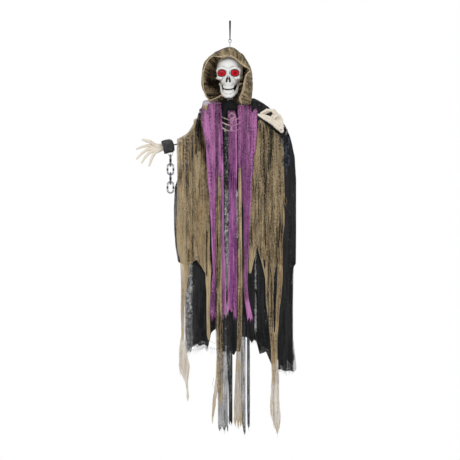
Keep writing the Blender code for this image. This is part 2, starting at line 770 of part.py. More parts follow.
def make_case_contents():
    door_half = BAY_HALF_WIDTH + DOOR_LAP
    base = CASE_BACK_Y + GAP
    top = CELL_BAY_Z + BAY_HALF_HEIGHT + DOOR_LAP
    low = CELL_BAY_Z - BAY_HALF_HEIGHT - DOOR_LAP
    door = box("battery_door", (-door_half, base, low), (door_half, base + DOOR_THICK, top), "case_black")
    for i in range(3):
        z = mix(low, top, 0.62) + GRIP_RIB * 3 * i
        rib = box(
            "grip_%d" % i,
            (-door_half / 3, base + DOOR_THICK - GRIP_RIB / 2, z),
            (door_half / 3, base + DOOR_THICK + GRIP_RIB, z + GRIP_RIB),
        )
        combine(door, rib, "UNION")
        place_on_skull(rib)
    place_on_skull(door)
    for side, tag in ((-1, "lower"), (1, "upper")):
        z = CELL_BAY_Z + side * (CELL_RADIUS + GAP / 2)
        y = CASE_BACK_Y - CELL_BAY_DEPTH + GAP + CELL_RADIUS
        cell = cylinder("battery_cell_" + tag, (0, y, z), "X", CELL_RADIUS, CELL_LENGTH, "cell", sides=16)
        place_on_skull(cell)
    switch = box(
        "switch_slider",
        (-SWITCH_WIDTH / 2, CASE_BACK_Y - SWITCH_DEPTH, SWITCH_Z - SWITCH_HEIGHT / 2),
        (SWITCH_WIDTH / 2, CASE_BACK_Y + SWITCH_PROUD, SWITCH_Z + SWITCH_HEIGHT / 2),
        "cell",
    )
    edge = switch.modifiers.new("edges", "BEVEL")
    edge.width = GRIP_RIB / 2
    edge.segments = 1
    place_on_skull(switch)


# Neck, shoulder bar and arm wires

def bar_z(x):
    return BAR_Z - BAR_END_DROP * (x / BAR_HALF) ** 2


def make_neck():
    profile = [
        (0, NECK_TOP),
        (NECK_FLANGE_RADIUS - NECK_FLANGE_THICK / 2, NECK_TOP),
        (NECK_FLANGE_RADIUS, NECK_TOP - NECK_FLANGE_THICK / 2),
        (NECK_FLANGE_RADIUS, NECK_TOP - NECK_FLANGE_THICK),
        (NECK_RADIUS, NECK_TOP - NECK_FLANGE_THICK),
        (NECK_RADIUS, COLLAR_TOP),
        (COLLAR_RADIUS, COLLAR_TOP - COLLAR_RADIUS / 3),
        (COLLAR_RADIUS, COLLAR_BOTTOM),
        (0, COLLAR_BOTTOM),
    ]
    neck = turned("neck_post", profile, "bar_grey", steps=16)
    bore = cylinder("bar_bore", (0, 0, BAR_Z), "X", BAR_RADIUS + GAP * 2, COLLAR_RADIUS * 4, sides=16)
    combine(neck, bore)


def bar_end(side):
    """The middle of the bar's end face and the way that it points."""
    slope = -2 * BAR_END_DROP / BAR_HALF
    return Vector((side * BAR_HALF, 0, bar_z(BAR_HALF))), Vector((side, 0, slope)).normalized()


def make_bar():
    places = [mix(-BAR_HALF, BAR_HALF, i / 10) for i in range(11)]
    route = [(x, 0, bar_z(x)) for x in places]
    bar = as_mesh(tube("shoulder_bar", route, BAR_RADIUS, "bar_grey", resolution=3))
    for side, tag in ((-1, "left"), (1, "right")):
        end, ahead = bar_end(side)
        aside = Vector((0, GAP / 5, GAP / 5))
        ends = [end + aside - ahead * (WIRE_SOCKET + GAP), end + aside + ahead * CUT_OVERRUN]
        combine(bar, as_mesh(tube("bar_socket_" + tag, ends, WIRE_RADIUS + GAP * 2, resolution=4)))


LEFT_ARM = [
    (-137 * MM, 0, -430 * MM),
    (-152 * MM, 0, -496 * MM),
    (-190 * MM, 0, -551 * MM),
    LEFT_ELBOW,
]
RIGHT_ARM = [
    (140 * MM, 0, -424 * MM),
    (178 * MM, 0, -452 * MM),
    (226 * MM, 0, -499 * MM),
    RIGHT_ELBOW,
]


def make_upper_arms():
    for tag, arm, side in (("left", LEFT_ARM, -1), ("right", RIGHT_ARM, 1)):
        end, ahead = bar_end(side)
        elbow = Vector(arm[-1])
        bend = [end + ahead * CUT_OVERRUN, *arm[1:]]
        route = [p for p in smooth_route(bend, 11) if (p - elbow).length > HOOK_DROP * 1.8]
        rise = Vector((0, 0, HOOK_DROP))
        foot = elbow - rise * 1.4 - Vector((side * HOOK_DROP, 0, 0))
        route = [end - ahead * WIRE_SOCKET, *route, elbow + rise, elbow - rise, foot]
        tube("upper_arm_wire_" + tag, route, WIRE_RADIUS, "wire", resolution=1)


def arm_route(arm):
    return smooth_route(arm, 25)


def across(route, share):
    """Place, outward normal in the XZ plane and tangent at a share of a route."""
    place = along(route, share)
    ahead = along(route, min(1.0, share + 0.04)) - along(route, max(0.0, share - 0.04))
    tangent = ahead.normalized()
    normal = Vector((-tangent.z, 0, tangent.x)).normalized()
    if normal.z < 0:
        normal = -normal
    return place, normal, tangent


SLEEVE_CROWDING = 1.5
SLEEVE_SAMPLE = 0.03


def sleeve(name, route, radii_shares, radius, surface="black_cloth", rows=7, columns=12, pleat_share=0.0):
    """A soft tube round a route, open at both ends."""

    def place(u, v):
        share = v**SLEEVE_CROWDING
        centre = along(route, share)
        tangent = (along(route, share + SLEEVE_SAMPLE) - along(route, share - SLEEVE_SAMPLE)).normalized()
        side = tangent.cross(Vector((0, 0, 1))).normalized()
        up = side.cross(tangent).normalized()
        angle = math.tau * u
        size = radius * along([(s, 0, 0) for s in radii_shares], v).x
        size *= 1 + pleat_share * math.sin(angle * 5) * v
        return centre + (side * math.cos(angle) + up * math.sin(angle)) * size

    return sheet(name, columns, rows, place, surface, SLEEVE_WALL, seam=True)


BAR_RING_SHARE = (BAR_RADIUS + GAP * 4 + SLEEVE_WALL / 2) / SLEEVE_RADIUS


SLEEVE_ROUTE_COUNT = 40
SLEEVE_SHARES = (BAR_RING_SHARE, 0.8, 0.95, 1, 1, 1, 1, 1)


def make_sleeves():
    for tag, arm, side in (("left", LEFT_ARM, -1), ("right", RIGHT_ARM, 1)):
        end, ahead = bar_end(side)
        start = end - ahead * BAR_RADIUS
        # The sleeve stops short of the elbow, so that the forearm turns outside it
        whole = arm_route([end + ahead * CUT_OVERRUN, *arm[1:]])
        rest = [p for p in whole if (p - Vector(arm[-1])).length > SLEEVE_STOP]
        route = smooth_route([start, *rest], SLEEVE_ROUTE_COUNT)
        sleeve("sleeve_" + tag, route, SLEEVE_SHARES, SLEEVE_RADIUS)


def forearm_frame(elbow, wrist):
    start, end = Vector(elbow), Vector(wrist)
    return start, end, (end - start).normalized()


CUFF_LEFT_START = 28 * MM
CUFF_RIGHT_START = 50 * MM
CUFF_STOP = 4 * MM
HAND_SOCKET_DEPTH = 14 * MM


def make_forearms():
    for tag, elbow, wrist, start_gap, radius in (
        ("left", LEFT_ELBOW, LEFT_WRIST, CUFF_LEFT_START, LEFT_CUFF_RADIUS),
        ("right", RIGHT_ELBOW, RIGHT_WRIST, CUFF_RIGHT_START, RIGHT_CUFF_RADIUS),
    ):
        start, end, run = forearm_frame(elbow, wrist)
        ring_radius = WIRE_RADIUS + GAP * 2 + ELBOW_RING_WIRE
        first = start + run * (ring_radius + WIRE_RADIUS / 4)
        wire = tube("forearm_wire_" + tag, [first, end + run * HAND_SOCKET_DEPTH], WIRE_RADIUS, "wire")
        loop = []
        for i in range(12):
            angle = math.tau * (i + 0.5) / 12
            loop.append(start + Vector((math.cos(angle), math.sin(angle), 0)) * ring_radius)
        ring = tube("elbow_ring_" + tag, loop, ELBOW_RING_WIRE, resolution=1, closed=True)
        combine(as_mesh(wire), as_mesh(ring), "UNION")
        # The cuff is gathered on the wire at its inner end and opens to a bell
        first = start + run * start_gap
        last = end - run * CUFF_STOP
        gather = (WIRE_RADIUS + GAP + SLEEVE_WALL / 2) / radius
        sleeve(
            "cuff_" + tag,
            smooth_route([first, first.lerp(last, 0.5), last], 20),
            (gather, 0.8, 0.97, 1, 1, 0.96),
            radius,
            rows=5,
            columns=14,
            pleat_share=0.05,
        )


# Hands

FINGER_RADIUS = 6.5 * MM
FINGER_JOINT_SHARES = (1.05, 0.85, 1.05, 0.8, 0.95, 0.5)
LEFT_PALM = (-364 * MM, -8 * MM, -606 * MM)
LEFT_PALM_SIZE = (43 * MM, 12 * MM, 35 * MM)
LEFT_FINGERS = (
    ((-350 * MM, -16 * MM, -584 * MM), (-378 * MM, -30 * MM, -574 * MM), (-409 * MM, -34 * MM, -566 * MM)),
    ((-385 * MM, -10 * MM, -591 * MM), (-410 * MM, -12 * MM, -592 * MM), (-442 * MM, -20 * MM, -609 * MM)),
    ((-388 * MM, -10 * MM, -606 * MM), (-413 * MM, -14 * MM, -624 * MM), (-441 * MM, -22 * MM, -656 * MM)),
    ((-378 * MM, -9 * MM, -622 * MM), (-398 * MM, -13 * MM, -642 * MM), (-417 * MM, -20 * MM, -674 * MM)),
    ((-356 * MM, -8 * MM, -628 * MM), (-370 * MM, -11 * MM, -655 * MM), (-381 * MM, -15 * MM, -690 * MM)),
)
RIGHT_PALM = (222 * MM, -116 * MM, -494 * MM)
RIGHT_PALM_SIZE = (40 * MM, 12 * MM, 27 * MM)
RIGHT_PALM_TILT = math.radians(60)
RIGHT_FINGERS = (
    ((205 * MM, -118 * MM, -498 * MM), (172 * MM, -130 * MM, -478 * MM), (131 * MM, -128 * MM, -456 * MM)),
    ((216 * MM, -118 * MM, -462 * MM), (184 * MM, -132 * MM, -433 * MM), (142 * MM, -130 * MM, -449 * MM)),
    ((224 * MM, -110 * MM, -466 * MM), (196 * MM, -114 * MM, -437 * MM), (158 * MM, -112 * MM, -452 * MM)),
    ((231 * MM, -112 * MM, -474 * MM), (222 * MM, -126 * MM, -462 * MM), (200 * MM, -136 * MM, -474 * MM)),
)
WRIST_RADIUS = 13 * MM


def make_hand(name, wrist, run, palm, size, tilt, fingers):
    """A flattened palm with a wrist stub, jointed fingers and a bore for the arm wire."""
    bm = bmesh.new()
    bmesh.ops.create_uvsphere(bm, u_segments=12, v_segments=8, radius=1)
    bmesh.ops.scale(bm, vec=size, verts=bm.verts)
    bmesh.ops.rotate(bm, cent=(0, 0, 0), matrix=Matrix.Rotation(tilt, 3, "Y"), verts=bm.verts)
    bmesh.ops.translate(bm, vec=palm, verts=bm.verts)
    hand = finish_mesh(name, bm, "hand_ivory")
    reach = max(HAND_SOCKET_DEPTH, (Vector(palm) - wrist).dot(run) * 0.6)
    stub = as_mesh(tube(name + "_stub", [wrist, wrist + run * reach], WRIST_RADIUS, resolution=3))
    combine(hand, stub, "UNION")
    for i, points in enumerate(fingers):
        route = smooth_route(points, len(FINGER_JOINT_SHARES))
        finger = as_mesh(
            tube("%s_finger_%d" % (name, i), route, FINGER_RADIUS, None, FINGER_JOINT_SHARES, resolution=1)
        )
        combine(hand, finger, "UNION")
    back = Vector(wrist) - run * CUT_OVERRUN
    deep = Vector(wrist) + run * (HAND_SOCKET_DEPTH + GAP)
    bore = as_mesh(tube(name + "_bore", [back, deep], WIRE_RADIUS + GAP, resolution=2))
    combine(hand, bore)


def make_hands():
    for side, elbow, wrist, palm, size, tilt, fingers in (
        ("left", LEFT_ELBOW, LEFT_WRIST, LEFT_PALM, LEFT_PALM_SIZE, 0.0, LEFT_FINGERS),
        ("right", RIGHT_ELBOW, RIGHT_WRIST, RIGHT_PALM, RIGHT_PALM_SIZE, RIGHT_PALM_TILT, RIGHT_FINGERS),
    ):
        end = forearm_frame(elbow, wrist)
        make_hand("hand_" + side, end[1], end[2], palm, size, tilt, fingers)


# Chains

LINK_STEP = LINK_LENGTH - LINK_WIRE * 4 - GAP
LINK_ARC_STEPS = 6


def link_points(centre, face_on):
    """The centre line of a stadium link, in the XZ plane or in the YZ plane."""
    bend = LINK_WIDTH / 2 - LINK_WIRE
    run = LINK_LENGTH / 2 - LINK_WIRE - bend
    points = []
    for end, start_angle in ((1, 0.0), (-1, math.pi)):
        for i in range(LINK_ARC_STEPS + 1):
            angle = start_angle + math.pi * i / LINK_ARC_STEPS
            across_link = bend * math.cos(angle)
            rise = end * run + bend * math.sin(angle)
            offset = (across_link, 0, rise) if face_on else (0, across_link, rise)
            points.append(Vector(centre) + Vector(offset))
    return points


LEFT_TIE_TOP = -620 * MM
RIGHT_TIE_TOP = -541 * MM
LEFT_TIE_Y = -3 * MM
RIGHT_TIE_Y = -84 * MM


def underside(tree, spots, low):
    """The lowest part of a surface over these (x, y), less a gap."""
    found = []
    for x, y in spots:
        hit = tree.ray_cast(Vector((x, y, low)), Vector((0, 0, 1)))[0]
        if hit is not None:
            found.append(hit.z)
    return min(found) - GAP


def make_chains():
    for tag, x, y, top, tie_face_on in (
        ("left", LEFT_CHAIN_X, LEFT_TIE_Y, LEFT_TIE_TOP, True),
        ("right", RIGHT_CHAIN_X, RIGHT_TIE_Y, RIGHT_TIE_TOP, False),
    ):
        bend = TIE_HALF_SPAN
        thread = (-TIE_RADIUS, 0, TIE_RADIUS)
        cuff = facing(bpy.data.objects["cuff_" + tag])
        foot = top - LINK_WIRE * 2 - GAP * 3 - bend
        loop = []
        for i in range(9):
            angle = math.pi + math.pi * i / 8
            loop.append((bend * math.cos(angle), foot + bend + bend * math.sin(angle)))
        loop = [(-bend, None), *loop, (bend, None)]
        points = [(x + a, y, z) if tie_face_on else (x, y + a, z) for a, z in loop]
        for end in (0, -1):
            at_x, at_y = points[end][:2]
            spots = [(at_x + dx, at_y + dy) for dx in thread for dy in thread]
            points[end] = (at_x, at_y, underside(cuff, spots, foot + bend))
        tube("chain_tie_" + tag, points, TIE_RADIUS, "black_cloth", resolution=1)
        first = foot + TIE_RADIUS + GAP + LINK_WIRE * 2 - LINK_LENGTH / 2
        for i in range(LINK_COUNT):
            face_on = tie_face_on == (i % 2 == 1)
            centre = (x, y, first - LINK_STEP * i)
            points = link_points(centre, face_on)
            tube("link_%s_%d" % (tag, i + 1), points, LINK_WIRE, "chain_plastic", resolution=1, closed=True)


# Cloth in front and behind

SHOULDER_Z = -395 * MM
SLOPE_Z = -416 * MM
KINK_Z = SLOPE_Z - DRAPE_RUN
SHOULDER_BULGE = 12 * MM
BULGE_RUN = 16 * MM
ROBE_TOP_HALF = 108 * MM
SEAT_REACH = 400 * MM
SEAT_SPAN = 6 * MM
FOLD_DRIFT = 0.035


def wave(x, z):
    return math.sin(math.tau * (x + FOLD_DRIFT * z) / FOLD_PITCH)


def seam_y(layer):
    return BAR_RADIUS + GAP + CLOTH / 2 + SEAM_STEP * layer


def layer_y(depth, layer, x, z, side=-1):
    """How far a layer of cloth stands in front of (or behind) the shoulder bar."""
    fall = SLOPE_Z - z
    edge = 1 - EDGE_PULL * min(1.0, abs(x) / EDGE_WIDTH) ** 2
    bulge = SHOULDER_BULGE * ease((abs(x) - ROBE_TOP_HALF) / BULGE_RUN)
    base = mix(seam_y(layer) + bulge, depth * edge, clamp(fall / DRAPE_RUN))
    fold = FOLD_HEIGHT * ease(fall / FOLD_RUN) * wave(x, z)
    return side * base + fold


def table_at(table, u):
    return along([(a, b, 0) for a, b in table], u)


def facing(obj):
    """The finished surface of a piece, to lay another one on."""
    return BVHTree.FromObject(obj, bpy.context.evaluated_depsgraph_get())


def seat_y(tree, spots, side, half_thick=CLOTH / 2):
    """How far out the middle of a piece lies when it rests on a surface at all these (x, z)."""
    reach = []
    for x, z in spots:
        hit = tree.ray_cast(Vector((x, side * SEAT_REACH, z)), Vector((0, -side, 0)))[0]
        if hit is not None:
            reach.append(side * hit.y)
    return side * (max(reach) + half_thick + GAP * 2) if reach else None


def row_levels(top_z, low_z, rows, kink_z):
    """Heights of the rows: the top, both ends of the shoulder slope, then even steps."""
    first = [z for z in (top_z, SLOPE_Z, kink_z) if z == top_z or z < top_z - SEAT_SPAN]
    rest = rows + 1 - len(first)
    return [*first, *(mix(first[-1], low_z, (i + 1) / rest) for i in range(rest))]


def panel(
    name, surface, top, hem, drop, hem_shares, depth, layer, rows=6, per=2, side=-1, widen=1.0, seat=None
):
    """A hanging sheet: top is (x, z) at both corners, hem the two x at full drop."""
    highest = max(top[0][1], top[1][1])
    columns = (len(hem_shares) - 1) * per
    tree = facing(seat) if seat else None

    def top_at(share):
        return mix(top[0][0], top[1][0], share), mix(top[0][1], top[1][1], share)

    def seat_at(share):
        reach = 1.0 / columns
        while True:
            spots = [top_at(clamp(share + reach * n / 4)) for n in range(-4, 5)]
            found = seat_y(tree, spots, side)
            if found is not None:
                return found
            reach += 1.0 / columns

    def place(u, v):
        across_share, drop_share = table_at(hem_shares, u)[:2]
        top_x, top_z = top_at(across_share)
        hem_x = mix(hem[0], hem[1], across_share)
        kink = top_z - DRAPE_RUN if tree else KINK_Z
        z = row_levels(top_z, highest - drop * drop_share, rows, kink)[round(v * rows)]
        x = mix(top_x, hem_x, ((top_z - z) / (top_z - highest + drop * drop_share)) ** widen)
        y = layer_y(depth, layer, x, z, side)
        if tree:
            y = mix(seat_at(across_share), y, clamp((top_z - z) / DRAPE_RUN))
        return Vector((x, y, z))

    return sheet(name, columns, rows, place, surface)


def hem_row(*drops):
    """A hem table with its points spread evenly across the sheet."""
    return tuple((i / (len(drops) - 1), d) for i, d in enumerate(drops))


ROBE_NECK_DROP = 42 * MM
ROBE_LEFT_HEM_X = -214 * MM
ROBE_RIGHT_HEM_X = 150 * MM
ROBE_DROP = 1250 * MM
ROBE_HEM_SHARES = hem_row(0.86, 0.93, 0.90, 0.94, 0.82, 0.80, 0.93, 1.0, 0.94, 0.90, 0.75, 0.77, 0.84)
BACK_HEM_SHARES = hem_row(0.86, 0.95, 0.84, 0.93, 1.0, 0.88, 0.96, 0.84, 0.94, 0.90)
ARM_CLEAR_DROP = 190 * MM
ARM_CLEAR_RUN = 330 * MM


ROBE_ROW_COUNT = 8


def make_robe():
    """Front and back of the robe hang from the bar and widen below the arms."""
    made = []
    for name, side, depth, shares in (
        ("black_robe_front", -1, ROBE_DEPTH, ROBE_HEM_SHARES),
        ("black_robe_back", 1, BACK_DEPTH, BACK_HEM_SHARES),
    ):

        def place(u, v, side=side, depth=depth, shares=shares):
            across_share, drop_share = table_at(shares, u)[:2]
            top_x = mix(-ROBE_TOP_HALF, ROBE_TOP_HALF, across_share)
            neckline = ROBE_NECK_DROP * math.exp(-((top_x / (COLLAR_RADIUS * 2)) ** 2))
            top_z = SHOULDER_Z - neckline
            low_z = SHOULDER_Z - ROBE_DROP * drop_share
            z = row_levels(top_z, low_z, ROBE_ROW_COUNT, KINK_Z)[round(v * ROBE_ROW_COUNT)]
            hem_x = mix(ROBE_LEFT_HEM_X, ROBE_RIGHT_HEM_X, across_share)
            x = mix(top_x, hem_x, ease((SHOULDER_Z - ARM_CLEAR_DROP - z) / ARM_CLEAR_RUN))
            return Vector((x, layer_y(depth, 0, x, z, side), z))

        made.append(sheet(name, (len(shares) - 1) * 2, ROBE_ROW_COUNT, place, "black_cloth"))
    return made


PURPLE_MID_ROW_COUNT = 7
PURPLE_TOP = -395 * MM
PURPLE_DROP = 1019 * MM
PURPLE_LEFT_X = (-140 * MM, -44 * MM)
PURPLE_LEFT_HEM = (-98 * MM, -46 * MM)
PURPLE_LEFT_SHARES = hem_row(0.97, 0.99, 0.93, 1.0, 0.90, 0.99, 0.96)
PURPLE_MID_X = (-2 * MM, 26 * MM)
PURPLE_MID_HEM = (-17 * MM, 34 * MM)
PURPLE_MID_TOP = -432 * MM
PURPLE_MID_TOP_Y = 34 * MM
PURPLE_MID_DROP = 974 * MM
PURPLE_MID_SHARES = hem_row(0.96, 1.0, 0.94, 0.99)
PURPLE_RIGHT_X = (40 * MM, 127 * MM)
PURPLE_RIGHT_TOP = -412 * MM
PURPLE_RIGHT_HEM = (62 * MM, 108 * MM)
PURPLE_RIGHT_DROP = 1010 * MM
PURPLE_RIGHT_SHARES = hem_row(0.93, 0.98, 0.90, 1.0, 0.95, 0.98)


def make_purple_middle(scarf):
    """The middle panel starts under the scarf and slants out over the breastbone."""
    columns = (len(PURPLE_MID_SHARES) - 1) * 2
    rows = PURPLE_MID_ROW_COUNT
    across_top = [mix(*PURPLE_MID_X, i / rows) for i in range(rows + 1)]
    spots = [(x, -PURPLE_MID_TOP_Y + dy) for x in across_top for dy in (-CLOTH, 0, CLOTH)]
    top_z = underside(facing(scarf), spots, PURPLE_MID_TOP - DRAPE_RUN)

    def place(u, v):
        across_share, drop_share = table_at(PURPLE_MID_SHARES, u)[:2]
        low_z = PURPLE_MID_TOP - PURPLE_MID_DROP * drop_share
        z = row_levels(top_z, low_z, rows, KINK_Z)[round(v * rows)]
        share = (top_z - z) / (top_z - low_z)
        x = mix(mix(*PURPLE_MID_X, across_share), mix(*PURPLE_MID_HEM, across_share), share)
        slant = clamp((top_z - z) / (top_z - KINK_Z))
        return Vector((x, mix(-PURPLE_MID_TOP_Y, layer_y(PURPLE_DEPTH, 1, x, z), slant), z))

    sheet("purple_panel_middle", columns, rows, place, "purple_gauze")


def make_purple(scarf):
    left = panel(
        "purple_panel_left",
        "purple_gauze",
        ((PURPLE_LEFT_X[0], PURPLE_TOP), (PURPLE_LEFT_X[1], PURPLE_TOP)),
        PURPLE_LEFT_HEM,
        PURPLE_DROP,
        PURPLE_LEFT_SHARES,
        PURPLE_DEPTH,
        1,
    )
    make_purple_middle(scarf)
    right = panel(
        "purple_panel_right",
        "purple_gauze",
        ((PURPLE_RIGHT_X[0], PURPLE_RIGHT_TOP), (PURPLE_RIGHT_X[1], PURPLE_RIGHT_TOP)),
        PURPLE_RIGHT_HEM,
        PURPLE_RIGHT_DROP,
        PURPLE_RIGHT_SHARES,
        PURPLE_DEPTH,
        1,
    )
    return left, right


STRIP_LEFT_X = (-68 * MM, -36 * MM)
STRIP_RIGHT_X = (34 * MM, 54 * MM)
STRIP_TOP = -700 * MM
STRIP_LEFT_DROP = 1188 * MM
STRIP_RIGHT_DROP = 1213 * MM
STRIP_LEFT_HEM = (-86 * MM, -44 * MM)
STRIP_RIGHT_HEM = (14 * MM, 52 * MM)
STRIP_LEFT_SHARES = ((0.0, 0.97), (0.3, 1.0), (0.5, 0.62), (0.75, 0.91), (1.0, 0.88))
STRIP_RIGHT_SHARES = ((0.0, 0.94), (0.35, 1.0), (0.6, 0.7), (1.0, 0.95))
TATTER_TOP = -1390 * MM
TATTERS = (
    ("tatter_grey", (-60 * MM, -22 * MM), (-54 * MM, -8 * MM), 548 * MM, 54 * MM),
    ("tatter_dark", (-18 * MM, 12 * MM), (-20 * MM, 6 * MM), 513 * MM, 61 * MM),
    ("tatter_long", (52 * MM, 74 * MM), (54 * MM, 70 * MM), 564 * MM, 54 * MM),
    ("tatter_thin", (80 * MM, 96 * MM), (78 * MM, 88 * MM), 535 * MM, 54 * MM),
)
TATTER_SHARES = hem_row(0.93, 1.0, 0.9, 0.97)


def make_strips(robe, purple):
    for name, top_x, hem_x, drop, shares in (
        ("tan_strip_left", STRIP_LEFT_X, STRIP_LEFT_HEM, STRIP_LEFT_DROP, STRIP_LEFT_SHARES),
        ("tan_strip_right", STRIP_RIGHT_X, STRIP_RIGHT_HEM, STRIP_RIGHT_DROP, STRIP_RIGHT_SHARES),
    ):
        panel(
            name,
            "tan_gauze",
            ((top_x[0], STRIP_TOP), (top_x[1], STRIP_TOP)),
            hem_x,
            drop,
            shares,
            STRIP_DEPTH,
            2,
            per=1,
            seat=purple[name],
        )
    for name, top_x, hem_x, drop, depth in TATTERS:
        panel(
            name,
            "grey_gauze",
            ((top_x[0], TATTER_TOP), (top_x[1], TATTER_TOP)),
            hem_x,
            drop,
            TATTER_SHARES,
            depth,
            1,
            rows=5,
            per=1,
            seat=robe,
        )


CLOAK_RIDGE = [
    (132 * MM, 0, -415 * MM),
    (152 * MM, 0, -429 * MM),
    (178 * MM, 0, -452 * MM),
    (226 * MM, 0, -499 * MM),
    RIGHT_ELBOW,
    (277 * MM, 0, -600 * MM),
    (288 * MM, 0, -720 * MM),
]
CLOAK_HEM = (112 * MM, 314 * MM)
CLOAK_HEM_Z = -1660 * MM
CLOAK_BACK_Z = -1600 * MM
CLOAK_HEM_SHARES = hem_row(0.97, 1.0, 0.95, 0.99, 0.97, 1.0, 0.98, 0.96)
CAPE_LEFT_HEM = (-96 * MM, -247 * MM)
CAPE_LEFT_HEM_Z = -1795 * MM
CAPE_LEFT_BACK_Z = -720 * MM
CAPE_LEFT_BACK_DEPTH = 26 * MM
CAPE_LEFT_SHARES = (
    (0.0, 0.60),
    (0.05, 0.87),
    (0.12, 0.62),
    (0.20, 0.53),
    (0.38, 0.52),
    (0.45, 0.64),
    (0.58, 0.66),
    (0.66, 0.98),
    (0.76, 0.93),
    (0.88, 0.62),
    (1.0, 0.56),
)
DRAPE_SLACK = 3.1 * MM
DRAPE_RADIUS = SLEEVE_RADIUS + SLEEVE_WALL / 2 + DRAPE_SLACK + CLOTH / 2


EDGE_CROWDING = 6


def draped(name, surface, ridge, span, hem, hem_z, back_z, hem_shares, depth, back_depth, layer, per=2):
    """A sheet laid over an arm: a short or long back, a turn over the arm and the front."""
    route = smooth_route(ridge, 30)
    back_rows, turn_rows, front_rows = 3, 4, 7
    rows = back_rows + turn_rows + front_rows
    top_line = max(p[2] for p in ridge)

    def place(u, v):
        across_share, drop_share = table_at(hem_shares, u)[:2]
        centre, normal, _ = across(route, mix(span[0], span[1], across_share))
        row = round(v * rows)
        hem_x = mix(hem[0], hem[1], across_share)
        if back_rows <= row <= back_rows + turn_rows:
            angle = math.pi * (row - back_rows) / turn_rows
            turned_out = normal * math.sin(angle) + Vector((0, math.cos(angle), 0))
            return centre + turned_out * DRAPE_RADIUS
        if row < back_rows:
            step, side, low, far, count = back_rows - row, 1, back_z, back_depth, back_rows
        else:
            step, side, low, far, count = row - back_rows - turn_rows, -1, hem_z, depth, front_rows
        bottom = mix(top_line, low, drop_share)
        z = row_levels(centre.z, bottom, count, centre.z - DRAPE_RUN)[step]
        # The edge beyond the arm comes down as wide as the turn that it hangs from
        wide = centre.x + normal.x * DRAPE_RADIUS * across_share**EDGE_CROWDING
        wide = mix(centre.x, wide, clamp((centre.z - z) / DRAPE_RUN))
        x = mix(wide, hem_x, ease((centre.z - z) / (centre.z - bottom) * 2.2))
        deep = layer_y(far, layer, x, z, side)
        y = mix(side * DRAPE_RADIUS, deep, clamp((centre.z - z) / DRAPE_RUN))
        return Vector((x, y, z))

    return sheet(name, (len(hem_shares) - 1) * per, rows, place, surface)


SLIT_HALF_WIDTH = 16 * MM
SLIT_HALF_HEIGHT = 11 * MM


def make_draped():
    cloak = draped(
        "black_cloak",
        "black_cloth",
        CLOAK_RIDGE,
        (0.0, 1.0),
        CLOAK_HEM,
        CLOAK_HEM_Z,
        CLOAK_BACK_Z,
        CLOAK_HEM_SHARES,
        CLOAK_DEPTH,
        CLOAK_BACK_DEPTH,
        0,
    )
    slit = cylinder(
        "arm_slit",
        (RIGHT_ELBOW[0] + SLIT_HALF_WIDTH / 3, -SLEEVE_RADIUS * 1.7, RIGHT_ELBOW[2]),
        "Y",
        SLIT_HALF_WIDTH,
        SLEEVE_RADIUS * 2,
        sides=16,
        squash_share=SLIT_HALF_HEIGHT / SLIT_HALF_WIDTH,
    )
    combine(cloak, slit)
    draped(
        "tan_cape_left",
        "tan_gauze",
        LEFT_ARM,
        (0.30, 0.985),
        CAPE_LEFT_HEM,
        CAPE_LEFT_HEM_Z,
        CAPE_LEFT_BACK_Z,
        CAPE_LEFT_SHARES,
        TAN_FRONT_DEPTH,
        CAPE_LEFT_BACK_DEPTH,
        1,
    )
    return cloak


CAPE_RIGHT_TOP = ((128 * MM, -482 * MM), (246 * MM, -566 * MM))
CAPE_RIGHT_HEM = (92 * MM, 256 * MM)
CAPE_RIGHT_DROP = 1462 * MM
CAPE_RIGHT_SHARES = (
    (0.0, 0.42),
    (0.10, 0.41),
    (0.22, 0.52),
    (0.36, 0.60),
    (0.52, 0.66),
    (0.62, 0.98),
    (0.68, 1.0),
    (0.76, 0.74),
    (0.86, 0.58),
    (1.0, 0.50),
)
CAPE_BACK_TOP = ((-98 * MM, -436 * MM), (98 * MM, -436 * MM))
CAPE_BACK_HEM = (-186 * MM, 176 * MM)
CAPE_BACK_DROP = 940 * MM
CAPE_BACK_SHARES = hem_row(0.72, 0.95, 0.70, 0.82, 1.0, 0.74, 0.70, 0.9, 0.76, 0.97, 0.72)


def make_capes(cloak, robe_back):
    panel(
        "tan_cape_right",
        "tan_gauze",
        CAPE_RIGHT_TOP,
        CAPE_RIGHT_HEM,
        CAPE_RIGHT_DROP,
        CAPE_RIGHT_SHARES,
        TAN_FRONT_DEPTH,
        2,
        widen=0.7,
        seat=cloak,
    )
    panel(
        "tan_cape_back",
        "tan_gauze",
        CAPE_BACK_TOP,
        CAPE_BACK_HEM,
        CAPE_BACK_DROP,
        CAPE_BACK_SHARES,
        TAN_BACK_DEPTH,
        1,
        side=1,
        widen=1.4,
        seat=robe_back,
    )


# Chest, scarf and hood

RIB_TOP = -440 * MM
RIB_WIRE = 3.2 * MM
RING_WIRE = 4.2 * MM
STERNUM_WIRE = 6 * MM
STERNUM_X = 8 * MM
RIB_RING_RADIUS = 13 * MM
RIB_SPREAD = 46 * MM
RIB_STEP = 26 * MM
RIB_SAG = 16 * MM
RIB_COUNT = 3


